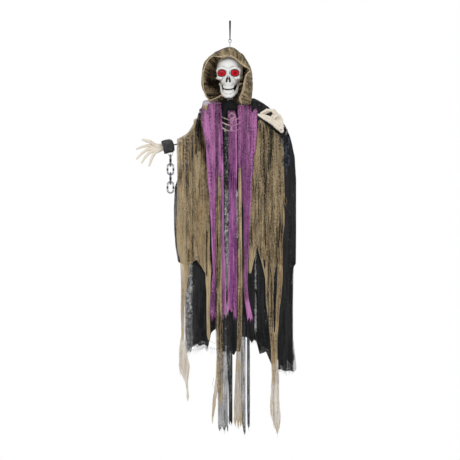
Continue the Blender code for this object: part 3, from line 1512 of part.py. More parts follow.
def make_ribs(robe):
    """A moulded breastbone with a ring at its neck and curved ribs, sewn on the robe's front."""
    tree = facing(robe)

    def back_at(z):
        near = (-STERNUM_WIRE, 0, STERNUM_WIRE)
        return seat_y(tree, [(STERNUM_X + dx, z + dz) for dx in near for dz in near], -1, 0)

    ring_z = RIB_TOP - RIB_RING_RADIUS
    ring = []
    for i in range(12):
        angle = math.tau * i / 12
        z = ring_z + RIB_RING_RADIUS * math.cos(angle)
        ring.append((STERNUM_X + RIB_RING_RADIUS * math.sin(angle), back_at(z) - RING_WIRE * 1.2, z))
    plate = as_mesh(tube("rib_plate", ring, RING_WIRE, "rib_ivory", closed=True))
    low = ring_z - RIB_RING_RADIUS - RIB_STEP * (RIB_COUNT - 0.6)
    heights = [mix(ring_z - RIB_RING_RADIUS + RIB_WIRE / 3, low, i / 3) for i in range(4)]
    spine = [(STERNUM_X, back_at(z) - STERNUM_WIRE, z) for z in heights]
    bone = as_mesh(tube("sternum", spine, STERNUM_WIRE))
    combine(plate, bone, "UNION")
    for i in range(RIB_COUNT):
        middle = ring_z - RIB_RING_RADIUS - RIB_STEP * (i + 0.3)
        points = []
        for n in range(8):
            reach = n / 7 * 2 - 1
            z = middle + RIB_SAG * reach**2
            points.append((STERNUM_X + RIB_SPREAD * reach, back_at(z) - STERNUM_WIRE - RIB_WIRE / 3, z))
        rib = as_mesh(tube("rib_%d" % i, points, RIB_WIRE, resolution=1))
        combine(plate, rib, "UNION")


SCARF_RADIUS = 15 * MM
SCARF_SPREAD = 34 * MM
SCARF_Z = -405 * MM
SCARF_STRETCH = 1.65
SCARF_WRAP_SHARE = 0.378
SCARF_TAIL_X = -30 * MM
SCARF_TAIL_LENGTH = 56 * MM
SCARF_TAIL_SHARES = (1, 1, 0.9, 0.8, 0.7, 0.4)


def make_scarf():
    """A bundled cloth knotted in front of the neck with one short tail."""
    points = []
    radii = []
    for i in range(11):
        reach = i / 10 * 2 - 1
        angle = math.pi * SCARF_WRAP_SHARE * reach
        out = COLLAR_RADIUS + GAP + SCARF_RADIUS
        points.append((SCARF_SPREAD * math.sin(angle), -out * mix(0.62, 1.0, math.cos(angle)), SCARF_Z))
        radii.append(mix(0.26, 1.0, math.cos(reach * math.pi / 2)) * (1 + 0.07 * math.sin(reach * 9)))
    scarf = as_mesh(tube("neck_scarf", points, SCARF_RADIUS, "black_cloth", radii, resolution=3))
    for vert in scarf.data.vertices:
        vert.co.z = SCARF_Z + (vert.co.z - SCARF_Z) * SCARF_STRETCH
    tail_top = Vector((SCARF_TAIL_X * 0.55, -COLLAR_RADIUS - SCARF_RADIUS * 1.3, SCARF_Z))
    tail = [tail_top, tail_top + Vector((SCARF_TAIL_X / 4, -SCARF_RADIUS / 2, -SCARF_TAIL_LENGTH / 2))]
    tail.append(Vector((SCARF_TAIL_X, -PURPLE_DEPTH - SCARF_RADIUS / 2, SCARF_Z - SCARF_TAIL_LENGTH)))
    route = smooth_route(tail, len(SCARF_TAIL_SHARES))
    end = as_mesh(tube("scarf_tail", route, SCARF_RADIUS * 0.5, None, SCARF_TAIL_SHARES))
    combine(scarf, end, "UNION")
    return scarf


HOOD_HALF_WIDTH = 122 * MM
HOOD_SHIFT = -13 * MM
HOOD_TOP = -126 * MM
HOOD_LOW = -390 * MM
HOOD_BACK_Y = 118 * MM
# Arches from the viewer's left hem over the head to the right hem, as shares of half width and height
HOOD_RIM_SHARES = (
    (-0.66, 0.0),
    (-0.87, 0.13),
    (-0.93, 0.38),
    (-0.86, 0.60),
    (-0.62, 0.78),
    (-0.30, 0.772),
    (0.10, 0.79),
    (0.38, 0.715),
    (0.60, 0.62),
    (0.67, 0.50),
    (0.68, 0.30),
    (0.62, 0.12),
    (0.40, 0.0),
)
HOOD_OUTLINE_SHARES = (
    (-0.74, 0.0),
    (-0.97, 0.16),
    (-1.0, 0.40),
    (-0.95, 0.63),
    (-0.78, 0.80),
    (-0.42, 0.94),
    (0.10, 1.0),
    (0.50, 0.92),
    (0.77, 0.75),
    (0.93, 0.55),
    (0.99, 0.38),
    (0.96, 0.16),
    (0.92, 0.0),
)
HOOD_RIM_Y = -86 * MM
HOOD_SIDE_Y = -14 * MM
HOOD_ROWS = 8
HOOD_FRONT_SHARE = 0.375


def hood_place(table, u, grow=1.0):
    share = smooth_route([(a, 0, b) for a, b in table], 61)
    spot = along(share, u)
    x = HOOD_SHIFT + HOOD_HALF_WIDTH * spot.x * grow
    return Vector((x, 0, mix(HOOD_LOW, HOOD_TOP, spot.z)))


def make_hood():
    """A cape hood: a rolled rim, the widest arch at the head and a seam down the back."""

    def place(u, v):
        rim = hood_place(HOOD_RIM_SHARES, u)
        arch = hood_place(HOOD_OUTLINE_SHARES, u)
        if v <= HOOD_FRONT_SHARE:
            share = v / HOOD_FRONT_SHARE
            spot = rim.lerp(arch, math.sin(share * math.pi / 2))
            y = mix(HOOD_RIM_Y, HOOD_SIDE_Y, share)
        else:
            share = (v - HOOD_FRONT_SHARE) / (1 - HOOD_FRONT_SHARE)
            y = mix(HOOD_SIDE_Y, HOOD_BACK_Y, math.sin(share * math.pi / 2))
            shrink = math.cos(share * math.pi / 2)
            seam_top = HOOD_TOP + (HOOD_LOW - HOOD_TOP) * 0.3
            seam_z = mix(HOOD_LOW, seam_top, 1 - abs(2 * u - 1))
            spot = Vector((arch.x * shrink, 0, mix(seam_z, arch.z, shrink)))
        return Vector((spot.x, y, spot.z))

    hood = sheet("hood", 24, HOOD_ROWS, place, "tan_gauze", seam=True)
    hole = cylinder("stem_hole", (0, 0, HOOD_TOP), "Z", STEM_RADIUS + GAP * 2, RIBBON_LENGTH / 2, sides=16)
    combine(hood, hole)
    return hood


def main():
    start_scene()
    make_ribbon()
    make_stem()
    make_nut()
    pin_holes = make_skull_face()
    make_skull_back(pin_holes)
    make_jaw(pin_holes)
    make_jaw_pins()
    make_eyes()
    make_case()
    make_case_contents()
    make_neck()
    make_bar()
    make_upper_arms()
    make_sleeves()
    make_forearms()
    make_hands()
    make_chains()
    robe_front, robe_back = make_robe()
    left, right = make_purple(make_scarf())
    make_strips(robe_front, {"tan_strip_left": left, "tan_strip_right": right})
    make_ribs(robe_front)
    make_capes(make_draped(), robe_back)
    make_hood()


main()
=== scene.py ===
"""Looks of a hanging skeleton reaper: gauze hood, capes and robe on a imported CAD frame."""

import json
import math
import random

import bmesh
import bpy
import numpy as np
from mathutils import Matrix, Vector, noise
from mathutils.bvhtree import BVHTree


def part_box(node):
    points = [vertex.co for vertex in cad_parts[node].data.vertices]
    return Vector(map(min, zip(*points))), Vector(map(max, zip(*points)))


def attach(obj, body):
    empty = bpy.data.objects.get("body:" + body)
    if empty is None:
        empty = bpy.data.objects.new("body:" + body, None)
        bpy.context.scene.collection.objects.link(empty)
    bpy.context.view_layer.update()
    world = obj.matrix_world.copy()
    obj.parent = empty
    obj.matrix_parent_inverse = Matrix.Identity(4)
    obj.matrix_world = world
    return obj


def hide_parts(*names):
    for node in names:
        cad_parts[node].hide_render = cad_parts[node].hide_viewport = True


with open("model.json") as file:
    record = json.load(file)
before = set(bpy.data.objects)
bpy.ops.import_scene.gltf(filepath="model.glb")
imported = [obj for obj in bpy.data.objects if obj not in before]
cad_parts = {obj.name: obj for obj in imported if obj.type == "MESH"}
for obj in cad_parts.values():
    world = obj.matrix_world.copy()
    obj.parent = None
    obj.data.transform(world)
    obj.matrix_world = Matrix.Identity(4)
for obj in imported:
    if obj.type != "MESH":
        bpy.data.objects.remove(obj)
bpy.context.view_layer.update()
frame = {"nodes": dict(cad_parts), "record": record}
NODES = frame["nodes"]
MM = 0.001
PX = 4.7 * MM
PX_X = 230
PX_Z = 19


def at(px, py):
    """Metres across and up for a place in the photograph's pixels."""
    return (px - PX_X) * PX, -(py - PX_Z) * PX


def ease(t):
    t = np.clip(t, 0, 1)
    return t * t * (3 - 2 * t)


def mix(a, b, t):
    return a + (b - a) * t


# Camera, light and floor

CAMERA_Y = -6.056
CAMERA_Z = -0.9917
LENS = 100
SENSOR = 36
FLOOR_Z = -2.62
FLOOR_RADIUS = 2.4
FLOOR_SIDES = 96
DAYLIGHT = (0.95, 0.97, 1, 1)
DAYLIGHT_STRENGTH = 0.62
WHITE = (1, 1, 1, 1)
LIGHTS = (
    ("key", (-1.9, -3.4, 1.3), 1.6, 62),
    ("fill", (2.6, -2.8, -0.2), 2.2, 26),
    ("rear", (0.6, 3.2, 0.9), 1.8, 34),
)


def linked(name, data):
    obj = bpy.data.objects.new(name, data)
    bpy.context.scene.collection.objects.link(obj)
    return obj


def make_camera():
    data = bpy.data.cameras.new("camera")
    data.lens = LENS
    data.sensor_width = SENSOR
    camera = linked("camera", data)
    camera.location = (0, CAMERA_Y, CAMERA_Z)
    camera.rotation_euler = (math.pi / 2, 0, 0)
    bpy.context.scene.camera = camera


def make_light(name, place, size, power):
    data = bpy.data.lights.new(name, "AREA")
    data.shape = "DISK"
    data.size = size
    data.energy = power
    lamp = linked(name, data)
    lamp.location = place
    aim = Vector((0, 0, CAMERA_Z)) - Vector(place)
    lamp.rotation_euler = aim.to_track_quat("-Z", "Y").to_euler()


def node(tree, kind, inputs=(), **settings):
    """A shader node; each input is a value or another node's output."""
    made = tree.nodes.new(kind)
    for key, value in settings.items():
        setattr(made, key, value)
    plug(tree, made, inputs)
    return made


def plug(tree, made, inputs):
    for slot, value in dict(inputs).items():
        if isinstance(value, bpy.types.NodeSocket):
            tree.links.new(value, made.inputs[slot])
        else:
            made.inputs[slot].default_value = value


def make_world():
    """Soft daylight on the object; camera, glossy and transmission rays see plain white."""
    world = bpy.data.worlds.new("world")
    world.use_nodes = True
    tree = world.node_tree
    tree.nodes.clear()
    rays = node(tree, "ShaderNodeLightPath").outputs
    seen = math_node(tree, "MAXIMUM", rays["Is Camera Ray"], rays["Is Glossy Ray"])
    seen = math_node(tree, "MAXIMUM", seen, rays["Is Transmission Ray"])
    light = node(tree, "ShaderNodeBackground", {"Color": DAYLIGHT, "Strength": DAYLIGHT_STRENGTH})
    white = node(tree, "ShaderNodeBackground", {"Color": WHITE, "Strength": 1})
    mixed = node(tree, "ShaderNodeMixShader", {0: seen, 1: light.outputs[0], 2: white.outputs[0]})
    node(tree, "ShaderNodeOutputWorld", {0: mixed.outputs[0]})
    bpy.context.scene.world = world


def make_stage():
    bm = bmesh.new()
    bmesh.ops.create_circle(bm, cap_ends=True, segments=FLOOR_SIDES, radius=FLOOR_RADIUS)
    mesh = bpy.data.meshes.new("floor")
    bm.to_mesh(mesh)
    bm.free()
    floor = linked("floor", mesh)
    floor.location = (0, 0, FLOOR_Z)
    mesh.materials.append(plain("floor_pale", (0.86, 0.86, 0.86), 0.75, 3, 0.03))


# Materials


def new_material(name):
    mat = bpy.data.materials.new(name)
    mat.use_nodes = True
    tree = mat.node_tree
    return mat, tree, tree.nodes["Principled BSDF"]


def math_node(tree, operation, *values):
    return node(tree, "ShaderNodeMath", enumerate(values), operation=operation).outputs[0]


def scaled(tree, value, by, plus):
    return math_node(tree, "MULTIPLY_ADD", value, by, plus)


def centred(tree, value):
    return math_node(tree, "SUBTRACT", value, 0.5)


def clamped(tree, value, low, high):
    return math_node(tree, "MINIMUM", math_node(tree, "MAXIMUM", value, low), high)


def attribute(tree, name, output="Fac"):
    return node(tree, "ShaderNodeAttribute", attribute_name=name).outputs[output]


def local_place(tree):
    return node(tree, "ShaderNodeTexCoord").outputs["Object"]


def ramp(tree, factor, *stops):
    made = node(tree, "ShaderNodeValToRGB", {0: factor})
    bar = made.color_ramp
    while len(bar.elements) < len(stops):
        bar.elements.new(0.5)
    for element, (place, colour) in zip(bar.elements, stops):
        element.position = place
        element.color = (*colour, 1)
    return made.outputs[0]


def noise_out(tree, vector, scale, detail=3.0, stretch=None, output=0):
    if stretch:
        vector = node(tree, "ShaderNodeMapping", {0: vector, "Scale": stretch}).outputs[0]
    inputs = {"Vector": vector, "Scale": scale, "Detail": detail}
    return node(tree, "ShaderNodeTexNoise", inputs).outputs[output]


def bump(tree, height, strength, distance):
    inputs = {"Height": height, "Strength": strength, "Distance": distance}
    return node(tree, "ShaderNodeBump", inputs).outputs[0]


def plain(name, colour, rough, scale, spread, metal=0.0, coat=0.0):
    """Moulded plastic, metal or paint: mottled colour, uneven gloss and a fine surface."""
    mat, tree, shader = new_material(name)
    where = local_place(tree)
    low = tuple(c * (1 - spread) for c in colour)
    high = tuple(min(1, c * (1 + spread)) for c in colour)
    fine = noise_out(tree, where, scale * 9, 3)
    plug(tree, shader, {
        "Base Color": ramp(tree, noise_out(tree, where, scale, 4), (0.3, low), (0.7, high)),
        "Roughness": scaled(tree, fine, 0.2, rough - 0.1),
        "Metallic": metal,
        "Coat Weight": coat,
        "Normal": bump(tree, fine, 0.25, 0.4 * MM),
    })
    return mat


def bone(name, light, shade_and_highlight, rough, rim=0.5, shine=0.5):
    """Cast plastic that runs toward a second colour where its attribute is high: painted shade in the hollows
    of skull and hands, a painted highlight mixed with rubbed wear on the chain, rubbed wear on the ribs.
    """
    mat, tree, shader = new_material(name)
    where = local_place(tree)
    blot = centred(tree, noise_out(tree, where, 55, 4))
    painted_light_mix = scaled(tree, blot, 0.55, attribute(tree, "painted_light_and_wear"))
    middle = tuple(mix(a, b, rim) for a, b in zip(light, shade_and_highlight))
    grain = noise_out(tree, where, 420, 4)
    plug(tree, shader, {
        "Base Color": ramp(tree, painted_light_mix, (0.10, light), (0.34, middle), (0.66, shade_and_highlight)),
        "Roughness": scaled(tree, grain, 0.25, rough - 0.12),
        "Specular IOR Level": shine,
        "Normal": bump(tree, grain, 0.3, 0.35 * MM),
    })
    return mat


# Noise in gauze: scale, detail and stretch across and along the cloth
GAUZE_WARP = (38, 2)
GAUZE_BLOT = (30, 4, (1, 0.35, 1))
GAUZE_LADDER = (90, 3, (1, 0.08, 1))
GAUZE_GRAIN = (190, 2, (1, 0.6, 1))
# How many threads the weave strays across and along, and how much wider it is along
STRAY = (2.4, 3)
WEFT_RATIO = 1.25
THREAD_EDGE = 5.0
SPARSEST = 0.04
STREAK_COVER = 0.9
STREAK_TONE = 1.6
BLOT_TINT = 0.9


def thread_mask(tree, place, step, width):
    """One for a thread and zero for the gap between threads that lie a step apart."""
    away = math_node(tree, "DIVIDE", math_node(tree, "PINGPONG", place, step / 2), step / 2)
    return scaled(tree, math_node(tree, "SUBTRACT", width, away), THREAD_EDGE, 0.5)


def gauze(name, dark, light, pitch, mottle, sheen=0.05, solid=False):
    """Loose open weave: threads along the flat cloth, thinner or denser by the cover attribute."""
    mat, tree, shader = new_material(name)
    flat = attribute(tree, "flat", "Vector")
    warp = noise_out(tree, flat, *GAUZE_WARP, output="Color")
    stray = (pitch * STRAY[0], pitch * STRAY[1], 0)
    shift = node(tree, "ShaderNodeVectorMath", {0: warp, 1: stray, 2: flat}, operation="MULTIPLY_ADD")
    split = node(tree, "ShaderNodeSeparateXYZ", {0: shift.outputs[0]}).outputs
    blot = centred(tree, noise_out(tree, flat, *GAUZE_BLOT))
    ladder = noise_out(tree, flat, *GAUZE_LADDER)
    grain = noise_out(tree, flat, *GAUZE_GRAIN)
    streak = math_node(tree, "ADD", centred(tree, ladder), centred(tree, grain))
    share = scaled(tree, scaled(tree, streak, STREAK_COVER, blot), mottle, attribute(tree, "cover"))
    gap = math_node(tree, "SQRT", math_node(tree, "SUBTRACT", 1, clamped(tree, share, SPARSEST, 1)))
    width = math_node(tree, "SUBTRACT", 1, gap)
    across = thread_mask(tree, split["X"], pitch, width)
    along = thread_mask(tree, split["Y"], pitch * WEFT_RATIO, width)
    threads = clamped(tree, math_node(tree, "MAXIMUM", across, along), 0, 1)
    hue = scaled(tree, blot, BLOT_TINT, scaled(tree, streak, STREAK_TONE, attribute(tree, "tone")))
    plug(tree, shader, {
        "Alpha": 1 if solid else threads,
        "Base Color": ramp(tree, hue, (0.2, dark), (0.78, light)),
        "Roughness": 0.85,
        "Specular IOR Level": 0.2,
        "Sheen Weight": sheen,
        "Normal": bump(tree, math_node(tree, "ADD", threads, ladder), 0.6, 0.8 * MM),
    })
    return mat


def thread(name, dark, light):
    mat, tree, shader = new_material(name)
    where = local_place(tree)
    plug(tree, shader, {
        "Base Color": ramp(tree, noise_out(tree, where, 60, 3), (0.3, dark), (0.7, light)),
        "Roughness": 0.9,
        "Normal": bump(tree, noise_out(tree, where, 900, 2, (1, 1, 0.3)), 0.6, 0.3 * MM),
    })
    return mat


def woven(name, dark, light, pitch, rough, sheen=0.05):
    """Dense cloth or ribbon: a fine weave in bump and colour."""
    mat, tree, shader = new_material(name)
    where = local_place(tree)
    split = node(tree, "ShaderNodeSeparateXYZ", {0: where}).outputs
    across = math_node(tree, "ADD", split["X"], split["Y"])
    ribs = math_node(tree, "PINGPONG", across, pitch / 2)
    weft = math_node(tree, "PINGPONG", split["Z"], pitch / 2)
    height = math_node(tree, "DIVIDE", math_node(tree, "ADD", ribs, weft), pitch)
    broad = noise_out(tree, where, 24, 4)
    hue = scaled(tree, height, 0.5, math_node(tree, "MULTIPLY", broad, 0.6))
    plug(tree, shader, {
        "Base Color": ramp(tree, hue, (0.2, dark), (0.8, light)),
        "Roughness": scaled(tree, broad, 0.3, rough - 0.15),
        "Sheen Weight": sheen,
        "Specular IOR Level": 0.15,
        "Normal": bump(tree, height, 0.5, 0.5 * MM),
    })
    return mat


def lens_red(name):
    """Red plastic with a darker cell in its middle and a weak painted glow: it gives off light of its own,
    though its lamp is not lit.
    """
    mat, tree, shader = new_material(name)
    speck = noise_out(tree, local_place(tree), 260, 2)
    depth = scaled(tree, speck, 0.12, attribute(tree, "middle"))
    colour = ramp(tree, depth, (0.1, (0.50, 0.0, 0.008)), (0.7, (0.14, 0.0, 0.003)))
    plug(tree, shader, {
        "Base Color": colour,
        # Emission is a painted glow, not a lamp
        "Emission Color": colour,
        "Emission Strength": 0.18,
        "Roughness": 0.32,
        "Specular IOR Level": 0.12,
        "Normal": bump(tree, speck, 0.1, 0.3 * MM),
    })
    return mat


TAN_DARK = (0.045, 0.038, 0.023)
TAN_LIGHT = (0.50, 0.385, 0.225)
MATERIALS = {
    "tan_gauze": (gauze, TAN_DARK, TAN_LIGHT, 2.6 * MM, 0.7),
    "tan_thread": (thread, (0.30, 0.19, 0.085), (0.62, 0.45, 0.25)),
    "hood_gauze": (gauze, (0.03, 0.023, 0.012), (0.42, 0.32, 0.18), 2.4 * MM, 0.4),
    # A lit copy of the hood gauze for its inside: the brighter light colour is painted light on the shaded
    # inside
    "hood_inside": (gauze, (0.03, 0.023, 0.014), (0.88, 0.69, 0.44), 2.4 * MM, 0.4, 0.05, True),
    "rim_thread": (thread, (0.50, 0.37, 0.22), (0.84, 0.68, 0.46)),
    "purple_gauze": (gauze, (0.07, 0.008, 0.09), (0.54, 0.20, 0.44), 2.6 * MM, 0.8),
    "purple_thread": (thread, (0.2, 0.04, 0.19), (0.45, 0.13, 0.4)),
    "black_gauze": (gauze, (0.004, 0.004, 0.0045), (0.020, 0.020, 0.021), 2.8 * MM, 0.45, 0.02),
    "grey_gauze": (gauze, (0.006, 0.006, 0.007), (0.05, 0.05, 0.053), 3.0 * MM, 0.7, 0.02),
    "black_thread": (thread, (0.005, 0.005, 0.006), (0.03, 0.03, 0.032)),
    "scarf_cloth": (woven, (0.003, 0.003, 0.003), (0.014, 0.014, 0.015), 1.2 * MM, 0.75, 0.0),
    "cuff_cloth": (plain, (0.009, 0.009, 0.011), 0.38, 60, 0.4),
    "hanging_ribbon": (woven, (0.004, 0.004, 0.005), (0.03, 0.03, 0.033), 1.0 * MM, 0.7),
    # Skull and hands: the dark second colour is painted shade in their hollows
    "skull_bone": (bone, (0.82, 0.81, 0.785), (0.06, 0.05, 0.04), 0.5),
    "hand_ivory": (bone, (0.78, 0.70, 0.58), (0.22, 0.13, 0.08), 0.48, 0.35),
    "rib_ivory": (bone, (0.80, 0.66, 0.55), (0.25, 0.14, 0.12), 0.5, 0.35),
    "red_lens": (lens_red,),
    # Black for painted shade in the eye sockets and nose
    "socket_black": (plain, (0.012, 0.012, 0.013), 0.4, 60, 0.3),
    # Lighter second colour: a painted highlight toward the key light, mixed with rubbed wear
    "chain_plastic": (bone, (0.005, 0.007, 0.013), (0.085, 0.11, 0.175), 0.42, 0.3, 0.3),
    "steel": (plain, (0.16, 0.16, 0.165), 0.5, 90, 0.12, 0.6),
    "lamp_red": (plain, (0.5, 0.02, 0.02), 0.2, 80, 0.15, 0, 0.5),
    "case_black": (plain, (0.015, 0.015, 0.016), 0.45, 120, 0.25),
    "cell_wrap": (plain, (0.35, 0.35, 0.36), 0.3, 70, 0.15, 0.6),
    "lead_red": (plain, (0.35, 0.02, 0.02), 0.45, 80, 0.2),
    "bar_grey": (plain, (0.28, 0.28, 0.29), 0.5, 60, 0.15),
    "arm_wire": (plain, (0.03, 0.03, 0.03), 0.5, 90, 0.2, 0.3),
}
made_materials = {}


def material(key):
    if key not in made_materials:
        make, *values = MATERIALS[key]
        made_materials[key] = make(key, *values)
    return made_materials[key]


# Pieces


def finished(obj, name, key, body, *replaced):
    """Names a piece and gives it its material, its body and the CAD nodes that it stands for."""
    mesh = obj.data
    obj.name = name
    mesh.name = name
    mesh.materials.clear()
    mesh.materials.append(material(key))
    mesh.shade_smooth()
    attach(obj, body)
    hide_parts(*replaced)
    return obj


def new_object(name, verts, faces, key, body, *replaced):
    mesh = bpy.data.meshes.new(name)
    mesh.from_pydata([tuple(v) for v in verts], [], faces)
    mesh.update()
    return finished(linked(name, mesh), name, key, body, *replaced)


def set_values(obj, name, values):
    kept = obj.data.attributes.new(name, "FLOAT", "POINT")
    kept.data.foreach_set("value", np.asarray(values, dtype=np.float32))


def set_weave(obj, flat, covers, tones):
    """The place of each point on the flat cloth, how dense it is there and how light."""
    kept = obj.data.attributes.new("flat", "FLOAT_VECTOR", "POINT")
    kept.data.foreach_set("vector", np.asarray(flat, dtype=np.float32).ravel())
    set_values(obj, "cover", np.clip(covers, THINNEST, 1))
    set_values(obj, "tone", np.clip(tones, 0, 1))


# Cloth

# Cells of cloth, and how near an edge they are drawn to it
THINNEST = 0.03
CELL = (4 * MM, 9 * MM)
FINE_CELL = (3 * MM, 9 * MM)
EDGE_REACH = 1.1
# Grid that samples the CAD cloth from in front or behind
RELIEF_STEP = 9 * MM
RELIEF_START = 0.6
RELIEF_INSET = 0.75 * MM
FILL_ROUNDS = 24
# Width, height and depth of each kind of fold, the broad one first
FOLDS = ((46 * MM, 620 * MM, 3.6 * MM), (20 * MM, 380 * MM, 3.0 * MM), (9 * MM, 190 * MM, 1.6 * MM))
FIRST_SWING = 2.2
FOLD_SHARPNESS = 2.6
# Cloth in a narrow place is bunched: denser, lighter and wider when laid flat
NARROWEST = 8 * MM
MOST_BUNCHED = 2.2
SPREAD = 1.1
COVER_PER_BUNCH = 0.22
COVER_PER_RISE = 13.2
TONE_PER_BUNCH = 0.10
# Painted light and shade on the folds: raised ridges lighter, hollows darker
FOLD_SHADE_PER_RISE = 75
STRIP_FADE = 8
# Pulled threads that lie on the cloth
STRAND_STEP = 11 * MM
SHORTEST_STRAND = 90 * MM
STRAND_THICKNESS = (0.6, 1.3)
STRAND_SWAY = 2.4 * MM
STRAND_WAVE = 0.35
STRAND_LIFT = 0.2 * MM
STRAND_MARGINS = (60 * MM, 8 * MM)
# Frayed threads, loops and rolled hems
THREAD_RADIUS = 0.45 * MM
THREAD_STEP = 6 * MM
THREAD_SWAY = 1.4 * MM
THREAD_WAVE = 0.6
THREAD_OVERLAP = 4 * MM
THREAD_LEAN = 0.12
SHORT_THREADS = 0.6
TAPER = 0.6
LOOP_RADIUS = 0.675 * MM
LOOP_OUT = 1.5 * MM
HEM_RADIUS = 1.1 * MM
HEM_LIFT = 1.2 * MM
HEM_STEP = 7 * MM
HEM_KNOTS = 1.2 * MM
TUBE_SIDE = Vector((0.31, 0.95, 0.07))
made_reliefs = {}


def inside(outline, x, z):
    """Even-odd test of many places against one closed outline."""
    hit = np.zeros(np.shape(x), dtype=bool)
    for (x0, z0), (x1, z1) in zip(outline, outline[1:] + outline[:1]):
        if z0 != z1:
            crossing = (z0 > z) != (z1 > z)
            hit ^= crossing & (x < (x1 - x0) * (z - z0) / (z1 - z0) + x0)
    return hit


def nearest_on(outline, x, z):
    """Distance to a closed outline and the place on it that is nearest."""
    found = []
    for (ax, az), (bx, bz) in zip(outline, outline[1:] + outline[:1]):
        run_x, run_z = bx - ax, bz - az
        share = ((x - ax) * run_x + (z - az) * run_z) / max(run_x**2 + run_z**2, 1e-12)
        share = min(max(share, 0), 1)
        px, pz = ax + run_x * share, az + run_z * share
        found.append((math.hypot(px - x, pz - z), px, pz))
    return min(found)


def around(grid):
    """The sum of the four neighbours of each place of a grid."""
    padded = np.pad(grid, 1, mode="edge")
    return padded[:-2, 1:-1] + padded[2:, 1:-1] + padded[1:-1, :-2] + padded[1:-1, 2:]


class Relief:
    """How far forward a CAD cloth lies, sampled through the solid from one side and smoothed."""

    def __init__(self, name, side):
        obj = NODES[name]
        mesh = obj.evaluated_get(bpy.context.evaluated_depsgraph_get()).to_mesh()
        verts = [obj.matrix_world @ v.co for v in mesh.vertices]
        tree = BVHTree.FromPolygons(verts, [tuple(p.vertices) for p in mesh.polygons])
        low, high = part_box(name)
        self.x0, self.z0 = low.x, low.z
        shape = [max(2, math.ceil((high[a] - low[a]) / RELIEF_STEP)) + 1 for a in (0, 2)]
        grid = np.full(shape, np.nan)
        for i, j in np.ndindex(*shape):
            start = Vector((low.x + i * RELIEF_STEP, side * RELIEF_START, low.z + j * RELIEF_STEP))
            hit = tree.ray_cast(start, Vector((0, -side, 0)))[0]
            if hit is not None:
                grid[i, j] = hit.y - side * RELIEF_INSET
        empty = np.isnan(grid)
        grid[empty] = np.nanmean(grid)
        known = (~empty).astype(float)
        for _ in range(FILL_ROUNDS):
            total, count = around(grid * known), around(known)
            fill = (known == 0) & (count > 0)
            grid[fill] = total[fill] / count[fill]
            known[fill] = 1
        for _ in range(2):
            grid = grid * 0.5 + around(grid) * 0.125
        self.grid = grid

    def __call__(self, x, z):
        columns, rows = self.grid.shape
        i = np.clip((np.asarray(x) - self.x0) / RELIEF_STEP, 0, columns - 1.001)
        j = np.clip((np.asarray(z) - self.z0) / RELIEF_STEP, 0, rows - 1.001)
        i0, j0 = i.astype(int), j.astype(int)
        g = self.grid
        near = mix(g[i0, j0], g[i0 + 1, j0], i - i0)
        far = mix(g[i0, j0 + 1], g[i0 + 1, j0 + 1], i - i0)
        return mix(near, far, j - j0)


def relief(name, side=-1):
    if (name, side) not in made_reliefs:
        made_reliefs[(name, side)] = Relief(name, side)
    return made_reliefs[(name, side)]


def fold_height(x, z, seed):
    """Hanging folds: ridges that run down the cloth and wander slowly."""
    rise = 0.0
    for n, (wide, tall, high) in enumerate(FOLDS):
        value = noise.noise(Vector((x / wide, z / tall, seed * 7.3 + n * 3.1)))
        rise += high * (1 - FOLD_SHARPNESS * abs(value) if n else FIRST_SWING * value)
    return rise


def row_span(edges, x, z):
    """Width and middle of the strip of cloth that holds a place."""
    hits = []
    for outline in edges:
        for (x0, z0), (x1, z1) in zip(outline, outline[1:] + outline[:1]):
            if (z0 > z) != (z1 > z):
                hits.append((x1 - x0) * (z - z0) / (z1 - z0) + x0)
    hits.sort()
    for a, b in zip(hits[::2], hits[1::2]):
        if a - 2 * MM <= x <= b + 2 * MM:
            return b - a, (a + b) / 2
    return None


def limits(outline):
    points = np.asarray(outline)
    return points.min(axis=0), points.max(axis=0)


def cloth_grid(edges, cell, side):
    """Cells inside the first outline and outside the others, drawn to the outlines at their edge."""
    low, high = limits(edges[0])
    counts = [math.ceil((high[a] - low[a]) / cell[a]) + 2 for a in (0, 1)]
    xs, zs = (low[a] - cell[a] / 2 + np.arange(counts[a]) * cell[a] for a in (0, 1))
    mid_x, mid_z = np.meshgrid(xs[:-1] + cell[0] / 2, zs[:-1] + cell[1] / 2, indexing="ij")
    kept = inside(edges[0], mid_x, mid_z)
    for hole in edges[1:]:
        kept &= ~inside(hole, mid_x, mid_z)
    index, uses, faces = {}, {}, []
    for i, j in zip(*np.nonzero(kept)):
        corners = [(i, j), (i + 1, j), (i + 1, j + 1), (i, j + 1)]
        for corner in corners:
            index.setdefault(corner, len(index))
            uses[corner] = uses.get(corner, 0) + 1
        faces.append([index[c] for c in corners][:: -side])
    places = []
    for i, j in index:
        place = xs[i], zs[j]
        if uses[(i, j)] < 4:
            gap, *drawn = min(nearest_on(edge, *place) for edge in edges)
            if gap < max(cell) * EDGE_REACH:
                place = drawn
        places.append(place)
    return *np.array(places).T, faces


